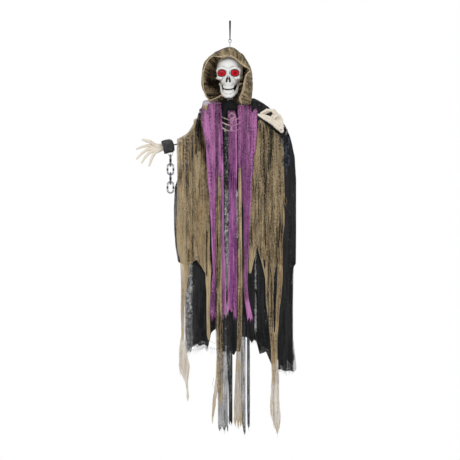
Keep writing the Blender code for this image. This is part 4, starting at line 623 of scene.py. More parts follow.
def cloth(name, key, replaced, outline, seed, side=-1, base=None, holes=(), cell=CELL, cover=0.6,
          strips=(), fold=1, tone=0.5, bunch_width=70 * MM, fade=60 * MM, extra=(), strands=()):
    """A hanging gauze with the given outline, on a CAD cloth's relief with folds and thin places."""
    base = base or relief(replaced, side)
    edges = [outline, *holes]
    low, high = limits(outline)
    x, z, faces = cloth_grid(edges, cell, side)

    def rise_at(x, z):
        return fold_height(x, z, seed) * fold * float(ease((high[1] - z) / fade))

    rises = np.array([rise_at(*place) for place in zip(x, z)])
    spans = [row_span(edges, *place) or (cell[0], place[0]) for place in zip(x, z)]
    widths, middles = np.array(spans).T
    bunches = np.clip((bunch_width / np.maximum(widths, NARROWEST)) ** 0.5, 1, MOST_BUNCHED)
    covers = cover + COVER_PER_BUNCH * (bunches - 1) + COVER_PER_RISE * rises
    # Tone also gets painted light on fold ridges and painted shade in fold hollows
    tones = tone + TONE_PER_BUNCH * (bunches - 1) + FOLD_SHADE_PER_RISE * rises
    for heights, left, right, top, bottom, value, soft in strips:
        across = ease((x - np.interp(z, heights, left)) / soft + 0.5)
        across = across * ease((np.interp(z, heights, right) - x) / soft + 0.5)
        along = ease((top - z) / (STRIP_FADE * soft) + 0.5) * ease((z - bottom) / (STRIP_FADE * soft) + 0.5)
        covers = mix(covers, value, across * along)
    if strands:
        extra = [*extra, lay_strands(name + "_strands", replaced, edges, base, side, rise_at, seed, *strands)]
    verts = np.column_stack([x, base(x, z) + side * rises, z])
    obj = new_object(name, verts, faces, key, "torso", replaced)
    flat_x = middles + (x - middles) * bunches * SPREAD
    set_weave(obj, np.column_stack([flat_x, z, np.full(len(x), seed)]), covers, tones)


def lay_strands(name, replaced, edges, base, side, rise_at, seed, key, count, longest, radius):
    """Pulled threads that lie on the cloth and run down its folds."""
    draw = random.Random(int(seed * 97))
    low, high = limits(edges[0])
    verts, faces = [], []
    for _ in range(count):
        x = draw.uniform(low[0], high[0])
        z = draw.uniform(low[1] + STRAND_MARGINS[0], high[1] - STRAND_MARGINS[1])
        phase, run = draw.random() * 60, draw.uniform(SHORTEST_STRAND, longest)
        thick = radius * draw.uniform(*STRAND_THICKNESS)
        way = []
        for n in range(int(run / STRAND_STEP)):
            here = row_span(edges, x, z)
            if here is None or abs(x - here[1]) > here[0] / 2 - 1 * MM:
                break
            y = float(base(x, z)) + side * (rise_at(x, z) + thick + STRAND_LIFT)
            way.append(Vector((x, y, z)))
            x += noise.noise(Vector((n * STRAND_WAVE, phase, 3.3))) * STRAND_SWAY
            z -= STRAND_STEP
        if len(way) > 4:
            tube_points(verts, faces, way, thick)
    return new_object(name, verts, faces, key, "torso", replaced)


def px_line(*points):
    return [at(*p) for p in points]


def strip(heights, left, right, rows, value, soft=5 * MM):
    """A stripe of another cover: its edges at two heights and the rows that it fills, in pixels."""
    levels = [at(0, py)[1] for py in reversed(heights)]
    edges = [[at(px, 0)[0] for px in reversed(edge)] for edge in (left, right)]
    return levels, *edges, at(0, rows[0])[1], at(0, rows[1])[1], value, soft


def tube_points(verts, faces, points, radius, sides=4, taper=True):
    """Adds one thin tube along points to lists of vertices and faces."""
    start = len(verts)
    count = len(points)
    for n, point in enumerate(points):
        ahead = (points[min(n + 1, count - 1)] - points[max(n - 1, 0)]).normalized()
        side = ahead.cross(TUBE_SIDE).normalized()
        up = side.cross(ahead)
        thick = radius * (1 - TAPER * n / (count - 1) if taper else 1)
        for k in range(sides):
            angle = math.tau * k / sides
            verts.append(point + (side * math.cos(angle) + up * math.sin(angle)) * thick)
    for n in range(count - 1):
        for k in range(sides):
            a = start + n * sides + k
            b = start + n * sides + (k + 1) % sides
            faces.append((a, b, b + sides, a + sides))
    faces.append(tuple(start + k for k in reversed(range(sides))))
    faces.append(tuple(start + (count - 1) * sides + k for k in range(sides)))


def wander(start, length, seed, lean):
    """A loose thread's way down from start."""
    points = [Vector(start)]
    count = max(3, int(length / THREAD_STEP))
    for n in range(1, count + 1):
        dx = noise.noise(Vector((n * THREAD_WAVE, seed, 1.7))) * THREAD_SWAY * 2 + lean * THREAD_STEP
        dy = noise.noise(Vector((n * THREAD_WAVE, seed, 9.2))) * THREAD_SWAY
        points.append(points[-1] + Vector((dx, dy, -length / count)))
    return points


def fringe(name, key, replaced, base, hems, seed, length=(10 * MM, 34 * MM), step=3.2 * MM, loops=()):
    """Frayed threads along the given hem lines, and loops that hang from them."""
    draw = random.Random(seed)
    verts, faces = [], []
    for hem in hems:
        points = [Vector((x, 0, z)) for x, z in hem]
        for a, b in zip(points, points[1:]):
            count = max(1, int((b - a).length / step))
            for n in range(count):
                spot = a.lerp(b, (n + draw.random()) / count)
                y = float(base(spot.x, spot.z)) + draw.uniform(-1, 1) * MM
                run = draw.uniform(*length) * (0.5 if draw.random() < SHORT_THREADS else 1)
                start = (spot.x, y, spot.z + THREAD_OVERLAP)
                way = wander(start, run, draw.random() * 50, draw.uniform(-THREAD_LEAN, THREAD_LEAN))
                tube_points(verts, faces, way, THREAD_RADIUS)
    for points in loops:
        way = [Vector((x, float(base(x, z)) - LOOP_OUT, z)) for x, z in points]
        tube_points(verts, faces, way, LOOP_RADIUS, taper=False)
    return new_object(name, verts, faces, key, "torso", replaced)


def rolled(name, key, replaced, base, runs):
    """A rolled edge that follows runs of (x, z), knotted unevenly like a selvedge."""
    verts, faces = [], []
    for n, run in enumerate(runs):
        spots = []
        for (x0, z0), (x1, z1) in zip(run, run[1:]):
            count = max(1, int(math.hypot(x1 - x0, z1 - z0) / HEM_STEP))
            for k in range(count):
                x, z = mix(x0, x1, k / count), mix(z0, z1, k / count)
                spots.append((x, z, noise.noise(Vector((x * 90, z * 60, n))) * HEM_KNOTS))
        spots.append((*run[-1], 0))
        way = [Vector((x + off, float(base(x, z)) - HEM_LIFT, z)) for x, z, off in spots]
        tube_points(verts, faces, way, HEM_RADIUS, sides=6, taper=False)
    return new_object(name, verts, faces, key, "torso", replaced)


# Outlines in the photograph's pixels

WING_BEHIND = 7 * MM
CAPE_LEFT = px_line(
    (202.6, 104.4), (200.8, 108), (199.4, 112.6), (197.6, 116.4), (192.3, 124.4), (191.6, 125.8),
    (187.4, 132.1), (183.2, 134.9), (176.9, 138.2), (176.7, 150), (177, 157), (177.4, 180), (177.2, 199.5),
    (176.3, 227), (177, 245.5), (178.7, 254.7), (180.3, 260), (180.7, 273), (181.2, 282.5), (180.9, 291.7),
    (180.7, 310), (181.5, 335), (179.8, 343), (178.9, 352), (178.9, 364), (180.3, 372), (184.9, 380),
    (186.5, 389), (186.9, 397), (187.8, 402.3), (189.2, 397), (188.4, 389), (188, 380), (189.3, 372),
    (189.5, 364), (186.7, 352), (184.9, 343), (184, 335), (184, 310), (184.4, 301), (185.5, 291.7),
    (187.2, 282.5), (189.2, 273), (190, 264), (195, 259.8), (197.5, 259.8), (202, 266.8), (205.5, 273.2),
    (205.7, 282.5), (206.6, 291.7), (206.6, 310), (206.9, 335), (208.6, 341), (210.3, 335), (209.8, 310),
    (210.5, 291.7), (210.6, 282.5), (211.2, 271.4), (210.4, 260), (210, 240), (209.6, 190), (208.5, 150),
    (207.5, 125), (207.5, 104.4))
CAPE_RIGHT = px_line(
    (257.6, 121), (260.3, 119.6), (267.4, 125.2), (273.7, 130), (279.3, 135), (281.8, 138.5), (283.5, 147.6),
    (284.2, 177.8), (284.4, 189.7), (284.6, 196.8), (283.8, 206.6), (284.5, 214), (284.4, 225.1),
    (283.4, 230.7), (282, 245.5), (282.4, 264), (282.6, 277.8), (281, 296.3), (279.2, 310.2), (277.6, 335),
    (277.4, 347.7), (277.8, 366), (279.2, 375.5), (279.2, 398.6), (280.1, 412.5), (280.6, 421.7),
    (279.2, 429), (277.6, 434.7), (275.5, 429), (273, 421.7), (270.4, 412.5), (270.4, 398.6), (271.8, 375.5),
    (271.3, 366), (270.9, 347.7), (268.1, 320), (265.8, 301), (265.3, 285), (265.3, 277.8), (263, 266.8),
    (258.2, 249.2), (257.5, 247), (254, 260), (251, 273), (248.6, 273), (249, 247), (250.5, 205),
    (251.9, 186), (254, 158), (256.1, 147), (257, 133))
CAPE_RIGHT_HOLES = (
    px_line((277.8, 261), (277.5, 273), (276.9, 291.7), (275.6, 310), (275, 333), (274, 333), (273.7, 320),
            (273.2, 301), (272.8, 294.5), (273.6, 280), (275.6, 268)),
    px_line((263, 259), (264.9, 260), (265.1, 268), (264, 268.6)))
CAPE_BACK = px_line(
    (193, 118), (204, 112.5), (230, 113.5), (256, 112.5), (264, 118), (267, 150), (266, 200), (264, 250),
    (262, 285), (259, 300), (255, 292), (250, 309), (245, 296), (240, 304), (236, 286), (231, 296),
    (224, 310), (218, 290), (212, 306), (206, 284), (201, 302), (196, 278), (193, 255), (191.5, 200),
    (191.5, 150))
CAPE_BACK_SLITS = (
    px_line((224.6, 190), (228.4, 188), (228.6, 250), (228.2, 292), (225, 292), (224.4, 240)),
    px_line((235.6, 188), (237.9, 190), (238, 238), (235.5, 240)),
    px_line((254.9, 190), (257.3, 190), (257.2, 290), (255.2, 290)))
CAPE_LEFT_REAR = px_line(
    (201, 113), (198.2, 116), (192.3, 124.4), (187.4, 132.1), (183.2, 134.9), (177.4, 138.8), (177.4, 150),
    (177.6, 157), (177.6, 199.5), (176.3, 227), (177, 240), (180, 252), (184, 238), (188, 250), (193, 232),
    (198, 244), (203, 225), (208, 232), (208.5, 190), (207, 125), (205, 113))
ROBE_WING = px_line(
    (202, 118), (196, 124), (190, 131), (184, 138), (179, 143), (178.4, 160), (177.6, 178), (174.6, 187),
    (173.6, 210), (174, 230), (175.2, 246), (177.8, 262), (186, 266), (193, 262), (199, 268), (206, 276),
    (209, 230), (209, 160), (206, 118))
CAPE_LEFT_ROLLS = (
    px_line((177, 138.2), (176.8, 150), (177.1, 157), (177.5, 180), (177.3, 199.5), (176.4, 227),
            (177, 245.5), (178.7, 254.7), (180.3, 260), (180.8, 273), (181.2, 291.7), (180.8, 310),
            (181.6, 335)),
    px_line((190, 266), (190.4, 263.4), (195, 259.9), (197.5, 259.9), (202, 266.8), (205.5, 273.2),
            (207, 279)),
    px_line((184.2, 335), (184.1, 310), (184.5, 301), (187.3, 282.5), (190, 266)))
CAPE_LEFT_HEMS = (
    px_line((179, 364), (180.3, 372), (184.9, 380), (187, 389)),
    px_line((189.4, 364), (188, 380)),
    px_line((206.8, 333), (210.2, 335)),
    px_line((186, 395), (189, 397)))
CAPE_LEFT_LOOPS = (
    px_line((208.5, 334.8), (209, 339), (211.2, 341.7), (214.9, 343.6), (217.7, 341.3)),
    px_line((209.8, 260), (211.4, 266), (211.4, 271.4), (210, 275)),
    px_line((180, 345), (181.5, 352), (180, 360), (182, 368), (184.6, 377)),
    px_line((185.5, 345), (187.2, 356), (186.4, 366), (187.4, 377), (186.8, 388)))
CAPE_RIGHT_ROLLS = (
    px_line((281.8, 138.8), (283.4, 147.6), (284.1, 177.8), (284.3, 189.7), (284.5, 196.8), (283.8, 206.6),
            (284.4, 214), (284.3, 225.1), (283.3, 230.7), (282, 245.5), (282.3, 264), (282.5, 277.8),
            (281, 296.3), (279.2, 310.2), (277.6, 335)),
    px_line((258.2, 249.4), (263, 266.8), (265.3, 277.8), (269.5, 294.5)),
    px_line((265.3, 254.7), (270, 262), (273.6, 280), (272.9, 294.5), (273.4, 310)))
CAPE_RIGHT_HEMS = (
    px_line((270.4, 399), (271, 414), (274, 424), (277.6, 433)),
    px_line((280.4, 412), (279.2, 429)),
    px_line((248.8, 271), (251, 273)))
CAPE_RIGHT_LOOPS = (
    px_line((284.4, 197), (286.2, 198.4), (286.8, 201.5), (285.8, 204), (284, 204.6)),
    px_line((271, 385), (273.5, 392), (272, 401), (275, 410), (274, 421)),
    px_line((278.6, 380), (276.8, 392), (278.6, 404), (276.6, 418), (277.4, 431)),
    px_line((270.6, 402), (274, 404), (278, 401), (279.8, 404)),
    px_line((271, 411), (275, 414), (280, 411)))
ROBE_EDGE = ((258, 112), (260, 130), (261.5, 160), (261.8, 260))
ROBE = px_line(
    (208, 102.5), (253, 102.5), *ROBE_EDGE, (262, 346), (260.2, 345), (256.5, 341.5), (253.8, 339.9),
    (250, 339.4), (247.8, 337.6), (241.8, 337), (241.7, 343), (240, 352), (236, 351), (233.9, 356),
    (230, 351), (224, 352), (217.9, 349), (217.2, 330), (215, 329), (211.2, 333), (209.5, 341), (208, 347.7),
    (204, 344.5), (200, 346.5), (196, 343.5), (192.7, 345), (190.9, 353.3), (188.5, 351), (186.7, 353.8),
    (185, 345), (184.8, 330), (184.4, 300), (184.4, 262), (188, 235), (199, 205), (206.5, 170), (206.8, 140),
    (206, 112))
ROBE_BACK = px_line(
    (208, 103.2), (253, 103.2), *ROBE_EDGE, (262, 342), (257, 338), (252, 345), (247.8, 337), (241.8, 337),
    (240, 350), (233.9, 352), (228, 346), (222, 352), (217.9, 347), (216, 330), (211.2, 334), (207, 345),
    (201, 342), (195, 347), (190, 350), (186.9, 352), (185, 335), (184.6, 300), (184.6, 262), (188, 235),
    (196, 190), (200, 150), (203, 130), (206, 112))
ROBE_HEMS = (
    px_line((247.8, 337.6), (253.8, 339.9), (262, 346)),
    px_line((217.5, 331), (225, 351), (233, 352), (240, 349)))
CLOAK_SHOULDER = ((254, 97.4), (258.5, 99.3), (263.5, 102.2), (268.3, 105.4), (272.4, 109.6))
CLOAK_BACK_DROP = 0.6
CLOAK_EDGE = (
    (277.2, 115.7), (283, 121.5), (286.1, 125.6), (289.9, 134.2), (292.5, 143.8), (295.1, 156.5),
    (296, 169.3))
CLOAK = px_line(
    (250.6, 97.8), *CLOAK_SHOULDER, *CLOAK_EDGE, (296.4, 179.5), (296.4, 230), (296.2, 264), (294, 267),
    (293.4, 300), (293.5, 340), (295.8, 356), (296.8, 369.9), (294.5, 372.5), (290, 371), (285.2, 371.8),
    (281, 369.6), (278.3, 370.4), (277.9, 350.5), (274, 349), (270.9, 350), (264.9, 348.2), (262, 346),
    (259, 340), (256, 300), (255, 200), (254.2, 140))
CLOAK_BACK = px_line(
    (251.4, 98.4), *[(px, py + CLOAK_BACK_DROP) for px, py in CLOAK_SHOULDER], *CLOAK_EDGE, (296.2, 230),
    (295.8, 264), (293.6, 270), (293.2, 340), (295, 360), (293, 366), (288, 362), (283, 368), (278, 360),
    (272, 366), (266, 352), (260, 356), (256, 340), (255.4, 260), (255, 200), (254.4, 140))
CLOAK_HEMS = (
    px_line((262, 346), (270.9, 350), (277.9, 351)),
    px_line((278.3, 370), (294, 372)))
PURPLE_LEFT = px_line(
    (202.8, 100.6), (205, 99.4), (210, 99.2), (215, 100.4), (220.6, 101.6), (221.8, 115), (223.4, 150),
    (223.7, 190), (223.8, 227), (225.1, 264), (226, 300), (226.5, 313), (225.4, 316.8), (224.6, 312),
    (223.2, 319.2), (222.3, 314), (222, 300), (221.3, 264), (220.4, 240), (218.6, 232), (217.2, 240),
    (216.4, 264), (216.1, 300), (216, 312), (214.9, 318.5), (213.6, 313), (212.3, 319.8), (211, 314),
    (210.4, 317), (210.4, 301), (211.3, 282.5), (213, 273), (212.6, 264), (211.7, 245.5), (211.2, 227),
    (208.9, 190), (207.7, 181.2), (206.7, 160.2), (206, 146.1), (204.2, 135.6), (202.5, 128.6), (200.8, 118),
    (200.8, 109))
PURPLE_MIDDLE = px_line(
    (227.5, 110.5), (234.5, 110.5), (236.8, 118), (237.2, 130), (237.3, 160), (236.4, 190), (236.6, 215),
    (237.2, 245), (237.2, 280), (237, 300), (236.9, 313), (236, 319.4), (234.8, 315), (233.6, 318.6),
    (233.2, 309.5), (231.6, 312), (229.8, 308), (228, 311.6), (226.6, 309), (227.8, 300), (228.8, 245),
    (228.8, 190), (228.6, 150), (228, 125))
PURPLE_RIGHT = px_line(
    (237.4, 104.4), (243, 104), (250, 104.6), (255.4, 106), (257.6, 110.5), (257, 119.6), (256.6, 133.6),
    (255.8, 147.6), (253.8, 158.2), (252.4, 172.2), (251.6, 186.2), (250.5, 205), (249.9, 227), (247.9, 264),
    (247.4, 282), (248.9, 300), (251.4, 312), (252.9, 320.4), (251.6, 317), (250.4, 321.2), (249.2, 316),
    (247.6, 320.2), (246.3, 310), (244.6, 300), (242.8, 282), (243.6, 264), (243.6, 227), (243.1, 205),
    (240.6, 197), (238.6, 190), (238.4, 150), (238.4, 120))
STRIP_LEFT = px_line(
    (216.8, 167.5), (220.5, 167.5), (221.6, 200), (221.7, 245), (222.1, 300), (223.3, 335), (223.2, 370),
    (222.5, 398), (221.2, 404), (220.3, 396), (219.3, 402), (218.4, 390), (216.6, 392), (215.4, 405),
    (213.6, 414), (212.2, 421), (212.4, 408), (213.6, 394), (215.8, 376), (216.6, 355), (215.8, 335),
    (215.4, 300), (215.6, 245), (216, 200))
STRIP_RIGHT = px_line(
    (238.6, 167.5), (241, 167.5), (241.4, 200), (241.9, 245), (242.5, 290), (241.8, 335), (241.6, 370),
    (241.7, 398), (241.6, 421), (240.6, 426), (239.6, 418), (238, 427.4), (236.8, 417), (235.2, 424.6),
    (234.1, 421), (234.1, 398), (235.4, 370), (237.1, 335), (237.6, 300), (238, 245), (238.4, 200))
STRIP_LOOPS = (
    px_line((214, 377), (212.4, 383), (215, 388), (218, 392), (215.4, 399), (213, 394)),)
SEE_THROUGH = (
    strip((100, 430), (224.2, 224.4), (228.8, 228.4), (124, 372), 0.6),
    strip((100, 430), (235.3, 235.4), (238, 238), (186, 244), 0.5),
    strip((100, 430), (254.8, 254.8), (257.4, 257.6), (190, 334), 0.45))
LEFT_HEM_THIN = strip((200, 400), (180, 180), (191.8, 192.7), (262, 380), 0.62)
CLOAK_THIN = strip((200, 400), (293.4, 293.4), (300, 300), (275, 380), 0.5)
LEFT_STREAKS = (
    strip((130, 265), (181, 181.5), (183.5, 184.5), (140, 262), 0.85, 4 * MM),
    strip((120, 265), (189, 191), (192, 194), (126, 262), 0.42, 6 * MM),
    strip((120, 280), (205.5, 205.7), (207.4, 207.4), (224, 276), 0.1, 2 * MM),
    strip((340, 400), (176, 176), (190, 190), (340, 410), 0.6, 4 * MM))
RIGHT_STREAKS = (
    strip((120, 260), (262, 264), (264, 266.5), (130, 250), 0.40, 6 * MM),
    strip((120, 260), (272, 275), (274, 277), (135, 262), 0.82, 4 * MM),
    strip((380, 440), (268, 268), (283, 283), (384, 440), 0.56, 4 * MM))
PANELS = (
    ("purple_panel_left", PURPLE_LEFT, 16, (
        strip((100, 320), (214.6, 216.5), (218.2, 220.8), (104, 300), 0.30),
        strip((100, 320), (203.5, 211), (208.2, 215.8), (150, 330), 0.85, 4 * MM),
        strip((100, 320), (219.2, 222), (222.8, 225.6), (140, 330), 0.82, 4 * MM))),
    ("purple_panel_middle", PURPLE_MIDDLE, 17, (
        strip((100, 320), (228, 228), (235, 234), (100, 200), 0.40, 6 * MM),
        strip((100, 320), (230, 229.5), (232.5, 232.4), (190, 330), 0.85))),
    ("purple_panel_right", PURPLE_RIGHT, 18, (
        strip((100, 320), (241.2, 241.2), (246.6, 246.6), (104, 300), 0.40),
        strip((100, 320), (247.6, 246.4), (251, 248.6), (150, 300), 0.5, 4 * MM),
        strip((100, 220), (253.6, 248.8), (257.5, 251.5), (110, 215), 0.85, 4 * MM))))
TAN_STRIPS = (
    ("tan_strip_left", STRIP_LEFT, 22, STRIP_LOOPS),
    ("tan_strip_right", STRIP_RIGHT, 23, ()))
TATTERS = (
    ("tatter_grey", "grey_gauze", 0.68, px_line(
        (218, 316), (227.8, 316), (227.9, 380), (228, 415), (227.9, 430.4), (226.3, 425), (224.4, 431.3),
        (222.2, 426), (219.8, 430.8), (218, 424), (217.6, 390), (217.5, 340))),
    ("tatter_dark", "black_gauze", 0.86, px_line(
        (226.2, 315.4), (232.4, 315.4), (232.5, 360), (232.5, 400), (232.5, 421), (231.4, 423.8),
        (230.4, 419.5), (229.6, 423.9), (228.8, 418), (228.4, 390), (226.8, 350))),
    ("tatter_long", "grey_gauze", 0.66, px_line(
        (241.4, 316), (245.6, 316), (245.7, 370), (245.7, 410), (245.6, 430), (244.6, 434.6), (243.4, 430),
        (242.2, 422), (241.2, 418), (241.1, 370))),
    ("tatter_thin", "black_gauze", 0.8, px_line(
        (247, 316), (249.8, 316), (249.9, 360), (250, 400), (249.8, 424), (248.6, 428.4), (247.4, 424),
        (246.9, 400), (246.8, 350))))


def edge_of(outline, top_py, low_py, right):
    """The part of an outline between two heights on its left or right."""
    top, low = at(0, top_py)[1], at(0, low_py)[1]
    middle = limits(outline)[0][0] / 2 + limits(outline)[1][0] / 2
    side = [p for p in outline if low <= p[1] <= top and (p[0] > middle) == right]
    return sorted(side, key=lambda p: -p[1])


def below(outline, py):
    return [p for p in outline if p[1] < at(0, py)[1]]


def make_robe():
    for name, side, outline in (("black_robe_front", -1, ROBE), ("black_robe_back", 1, ROBE_BACK)):
        base = relief(name, side)
        hems = [edge_of(outline, 325, 360, False)[::2], *ROBE_HEMS]
        frayed = fringe(name + "_fringe", "black_thread", name, base, hems, 11 + side)
        cloth(name + "_gauze", "black_gauze", name, outline, 2 + side, side, cover=0.95,
              strips=(*SEE_THROUGH, LEFT_HEM_THIN), fold=0.9, bunch_width=60 * MM, tone=0.35, fade=90 * MM,
              extra=[frayed])


def make_cloak():
    name = "black_cloak"
    for tag, side, outline in (("front", -1, CLOAK), ("back", 1, CLOAK_BACK)):
        base = relief(name, side)
        frayed = fringe("black_cloak_fringe_" + tag, "black_thread", name, base, CLOAK_HEMS, 21 + side)
        cloth("black_cloak_" + tag, "black_gauze", name, outline, 5 + side,
              side, cover=0.96, strips=(SEE_THROUGH[2], CLOAK_THIN), fold=0.9, bunch_width=60 * MM, tone=0.35,
              fade=120 * MM, extra=[frayed])


def make_left_cape():
    name = "tan_cape_left"
    base = relief(name)
    edge = rolled(name + "_hem", "tan_thread", name, base, CAPE_LEFT_ROLLS)
    frayed = fringe(name + "_fringe", "tan_thread", name, base, CAPE_LEFT_HEMS, 31, loops=CAPE_LEFT_LOOPS)
    cloth(name + "_front", "tan_gauze", name, CAPE_LEFT, 8, cell=FINE_CELL,
          strips=LEFT_STREAKS, bunch_width=110 * MM, tone=0.48, fold=1.15, fade=70 * MM,
          extra=[edge, frayed], strands=("tan_thread", 260, 420 * MM, 0.75 * MM))
    cloth("black_robe_wing", "black_gauze", "black_robe_front", ROBE_WING, 19, cover=0.93,
          base=lambda x, z: base(x, z) + WING_BEHIND, fold=0.0, bunch_width=60 * MM, tone=0.3)
    cloth(name + "_rear", "tan_gauze", name, CAPE_LEFT_REAR, 9, 1, cover=0.62,
          bunch_width=90 * MM, fade=70 * MM)


def make_right_cape():
    name = "tan_cape_right"
    base = relief(name)
    edge = rolled(name + "_hem", "tan_thread", name, base, CAPE_RIGHT_ROLLS)
    frayed = fringe(name + "_fringe", "tan_thread", name, base, CAPE_RIGHT_HEMS, 41, loops=CAPE_RIGHT_LOOPS)
    cloth(name + "_gauze", "tan_gauze", name, CAPE_RIGHT, 12, holes=CAPE_RIGHT_HOLES,
          cell=FINE_CELL, strips=RIGHT_STREAKS, bunch_width=100 * MM, tone=0.46, fold=1.15, fade=50 * MM,
          extra=[edge, frayed], strands=("tan_thread", 240, 420 * MM, 0.75 * MM))


def make_back_cape():
    name = "tan_cape_back"
    hems = [edge_of(CAPE_BACK, 275, 312, right) for right in (False, True)]
    frayed = fringe(name + "_fringe", "tan_thread", name, relief(name, 1), hems, 51,
                    length=(14 * MM, 70 * MM), step=7 * MM)
    cloth(name + "_gauze", "tan_gauze", name, CAPE_BACK, 14, 1, holes=CAPE_BACK_SLITS,
          cover=0.64, bunch_width=90 * MM, tone=0.48, fold=1.3, extra=[frayed],
          strands=("tan_thread", 220, 420 * MM, 0.75 * MM))


def make_panels():
    for name, outline, seed, strips in PANELS:
        frayed = fringe(name + "_fringe", "purple_thread", name, relief(name), [below(outline, 306)],
                        seed * 3, length=(6 * MM, 26 * MM))
        cloth(name + "_gauze", "purple_gauze", name, outline, seed, cell=FINE_CELL,
              cover=0.7, strips=strips, fade=40 * MM, extra=[frayed],
              strands=("purple_thread", 90, 500 * MM, 0.8 * MM))


def make_strips():
    for name, outline, seed, loops in TAN_STRIPS:
        frayed = fringe(name + "_fringe", "tan_thread", name, relief(name), [below(outline, 388)], seed * 3,
                        length=(8 * MM, 30 * MM), loops=loops)
        cloth(name + "_gauze", "tan_gauze", name, outline, seed, cell=FINE_CELL,
              cover=0.66, bunch_width=46 * MM, tone=0.36, fold=0.9, fade=40 * MM, extra=[frayed],
              strands=("tan_thread", 50, 420 * MM, 0.8 * MM))


def make_tatters():
    for name, key, cover, outline in TATTERS:
        frayed = fringe(name + "_fringe", "black_thread", name, relief(name), [below(outline, 412)], 55,
                        length=(6 * MM, 24 * MM), step=2.4 * MM)
        cloth(name + "_gauze", key, name, outline, 11, cell=FINE_CELL, cover=cover,
              bunch_width=30 * MM, fold=0.8, fade=40 * MM, extra=[frayed])


# Cast and moulded forms, in millimetres until they are placed

SKULL_PLACE = Matrix.Translation((-2 * MM, 0, -245 * MM)) @ Matrix.Rotation(math.radians(-5), 4, "Z")
TO_METRES = Matrix.Scale(MM, 4)
EYE_X = 31
EYE_Z = -11
LENS_SIZE = (18.4, 8, 16)
LENS_Y = -61
LENS_TURN = math.radians(9)
LENS_POWER = 2.8
LENS_FADE, LENS_DARK = 1.5, 0.9
EYE_POINTS = 14
EYE_POWER = 2.6
EYE_SLANT = 0.32
# A black ring around each lens: painted shade in the eye socket
SOCKET_SHADE_RING = (18.6, 16.2, -67)
SOCKET_SHADE_RADIUS = 3.2
SOCKET_SIDES = 8
TEETH = 8
TEETH_SWEEP = math.radians(132)
TEETH_MIDDLE_Y = -40
GUM_SWEEP = math.radians(150)
GUM_POINTS = 11
SMILE = 7.5
WEAR_ROUNDS = 28


def ball(centre, radii, subdivisions=3, power=2.0):
    """A ball, with squarer sides for a higher power."""
    def add(bm):
        for vert in bmesh.ops.create_icosphere(bm, subdivisions=subdivisions, radius=1)["verts"]:
            reach = sum(abs(c) ** power for c in vert.co) ** (-1 / power) if power > 2 else 1
            vert.co = Vector(centre) + Vector(a * b * reach for a, b in zip(vert.co, radii))

    return [add]


def squared(centre, radii, power, subdivisions=4):
    return ball(centre, radii, subdivisions, power)


def limb(points, radii):
    """Round-ended rods from point to point; each point has its own radius."""
    radii = [radii] * len(points) if isinstance(radii, (int, float)) else radii
    ends = list(zip(points, radii))
    parts = []
    for (a, ra), (b, rb) in zip(ends, ends[1:]):
        def add(bm, a=Vector(a), b=Vector(b), ra=ra, rb=rb):
            run = b - a
            cone = bmesh.ops.create_cone(bm, cap_ends=True, segments=18, radius1=ra, radius2=rb,
                                         depth=run.length)
            turn = Vector((0, 0, 1)).rotation_difference(run).to_matrix().to_4x4()
            bmesh.ops.transform(bm, matrix=Matrix.Translation((a + b) / 2) @ turn, verts=cone["verts"])

        parts.append(add)
    for point, radius in ends:
        parts += ball(point, (radius, radius, radius), 2)
    return parts


def both(make, first, *rest):
    """The same parts on the right and, mirrored in X, on the left."""
    parts = []
    for side in (1, -1):
        if isinstance(first, list):
            parts += make([(side * p[0], *p[1:]) for p in first], *rest)
        else:
            parts += make((side * first[0], *first[1:]), *rest)
    return parts


def around_mouth(radius, angle, z):
    """A place on the curve of the rows of teeth, which rise toward the back."""
    rise = SMILE * (angle / (TEETH_SWEEP / 2)) ** 2
    return radius * math.sin(angle), TEETH_MIDDLE_Y - radius * math.cos(angle), z + rise


def teeth(low, high, radius, wide):
    parts = []
    for n in range(TEETH):
        off = n - (TEETH - 1) / 2
        length = (high - low) / 2 * (1 - 0.2 * abs(off) / TEETH)
        centre = around_mouth(radius, TEETH_SWEEP * off / TEETH, (low + high) / 2)
        parts += squared(centre, (wide, wide, length), 2.6, 3)
    return parts


def gum(radius, z, thick):
    angles = [GUM_SWEEP * (n / (GUM_POINTS - 1) - 0.5) for n in range(GUM_POINTS)]
    return limb([around_mouth(radius, a, z) for a in angles], thick)


def eye_ring(side, wide, high, y):
    """A squared ring around an eye; its last point repeats the first."""
    ring = []
    for n in range(EYE_POINTS + 1):
        angle = math.tau * n / EYE_POINTS
        c, s = math.cos(angle), math.sin(angle)
        reach = (abs(c) ** EYE_POWER + abs(s) ** EYE_POWER) ** (-1 / EYE_POWER)
        x = wide * c * reach
        ring.append((side * (EYE_X + x), y + EYE_SLANT * max(0, x), EYE_Z + high * s * reach))
    return ring


def forms(*rows):
    """All parts of rows that each name a function and its values."""
    return [part for make, *values in rows for part in make(*values)]


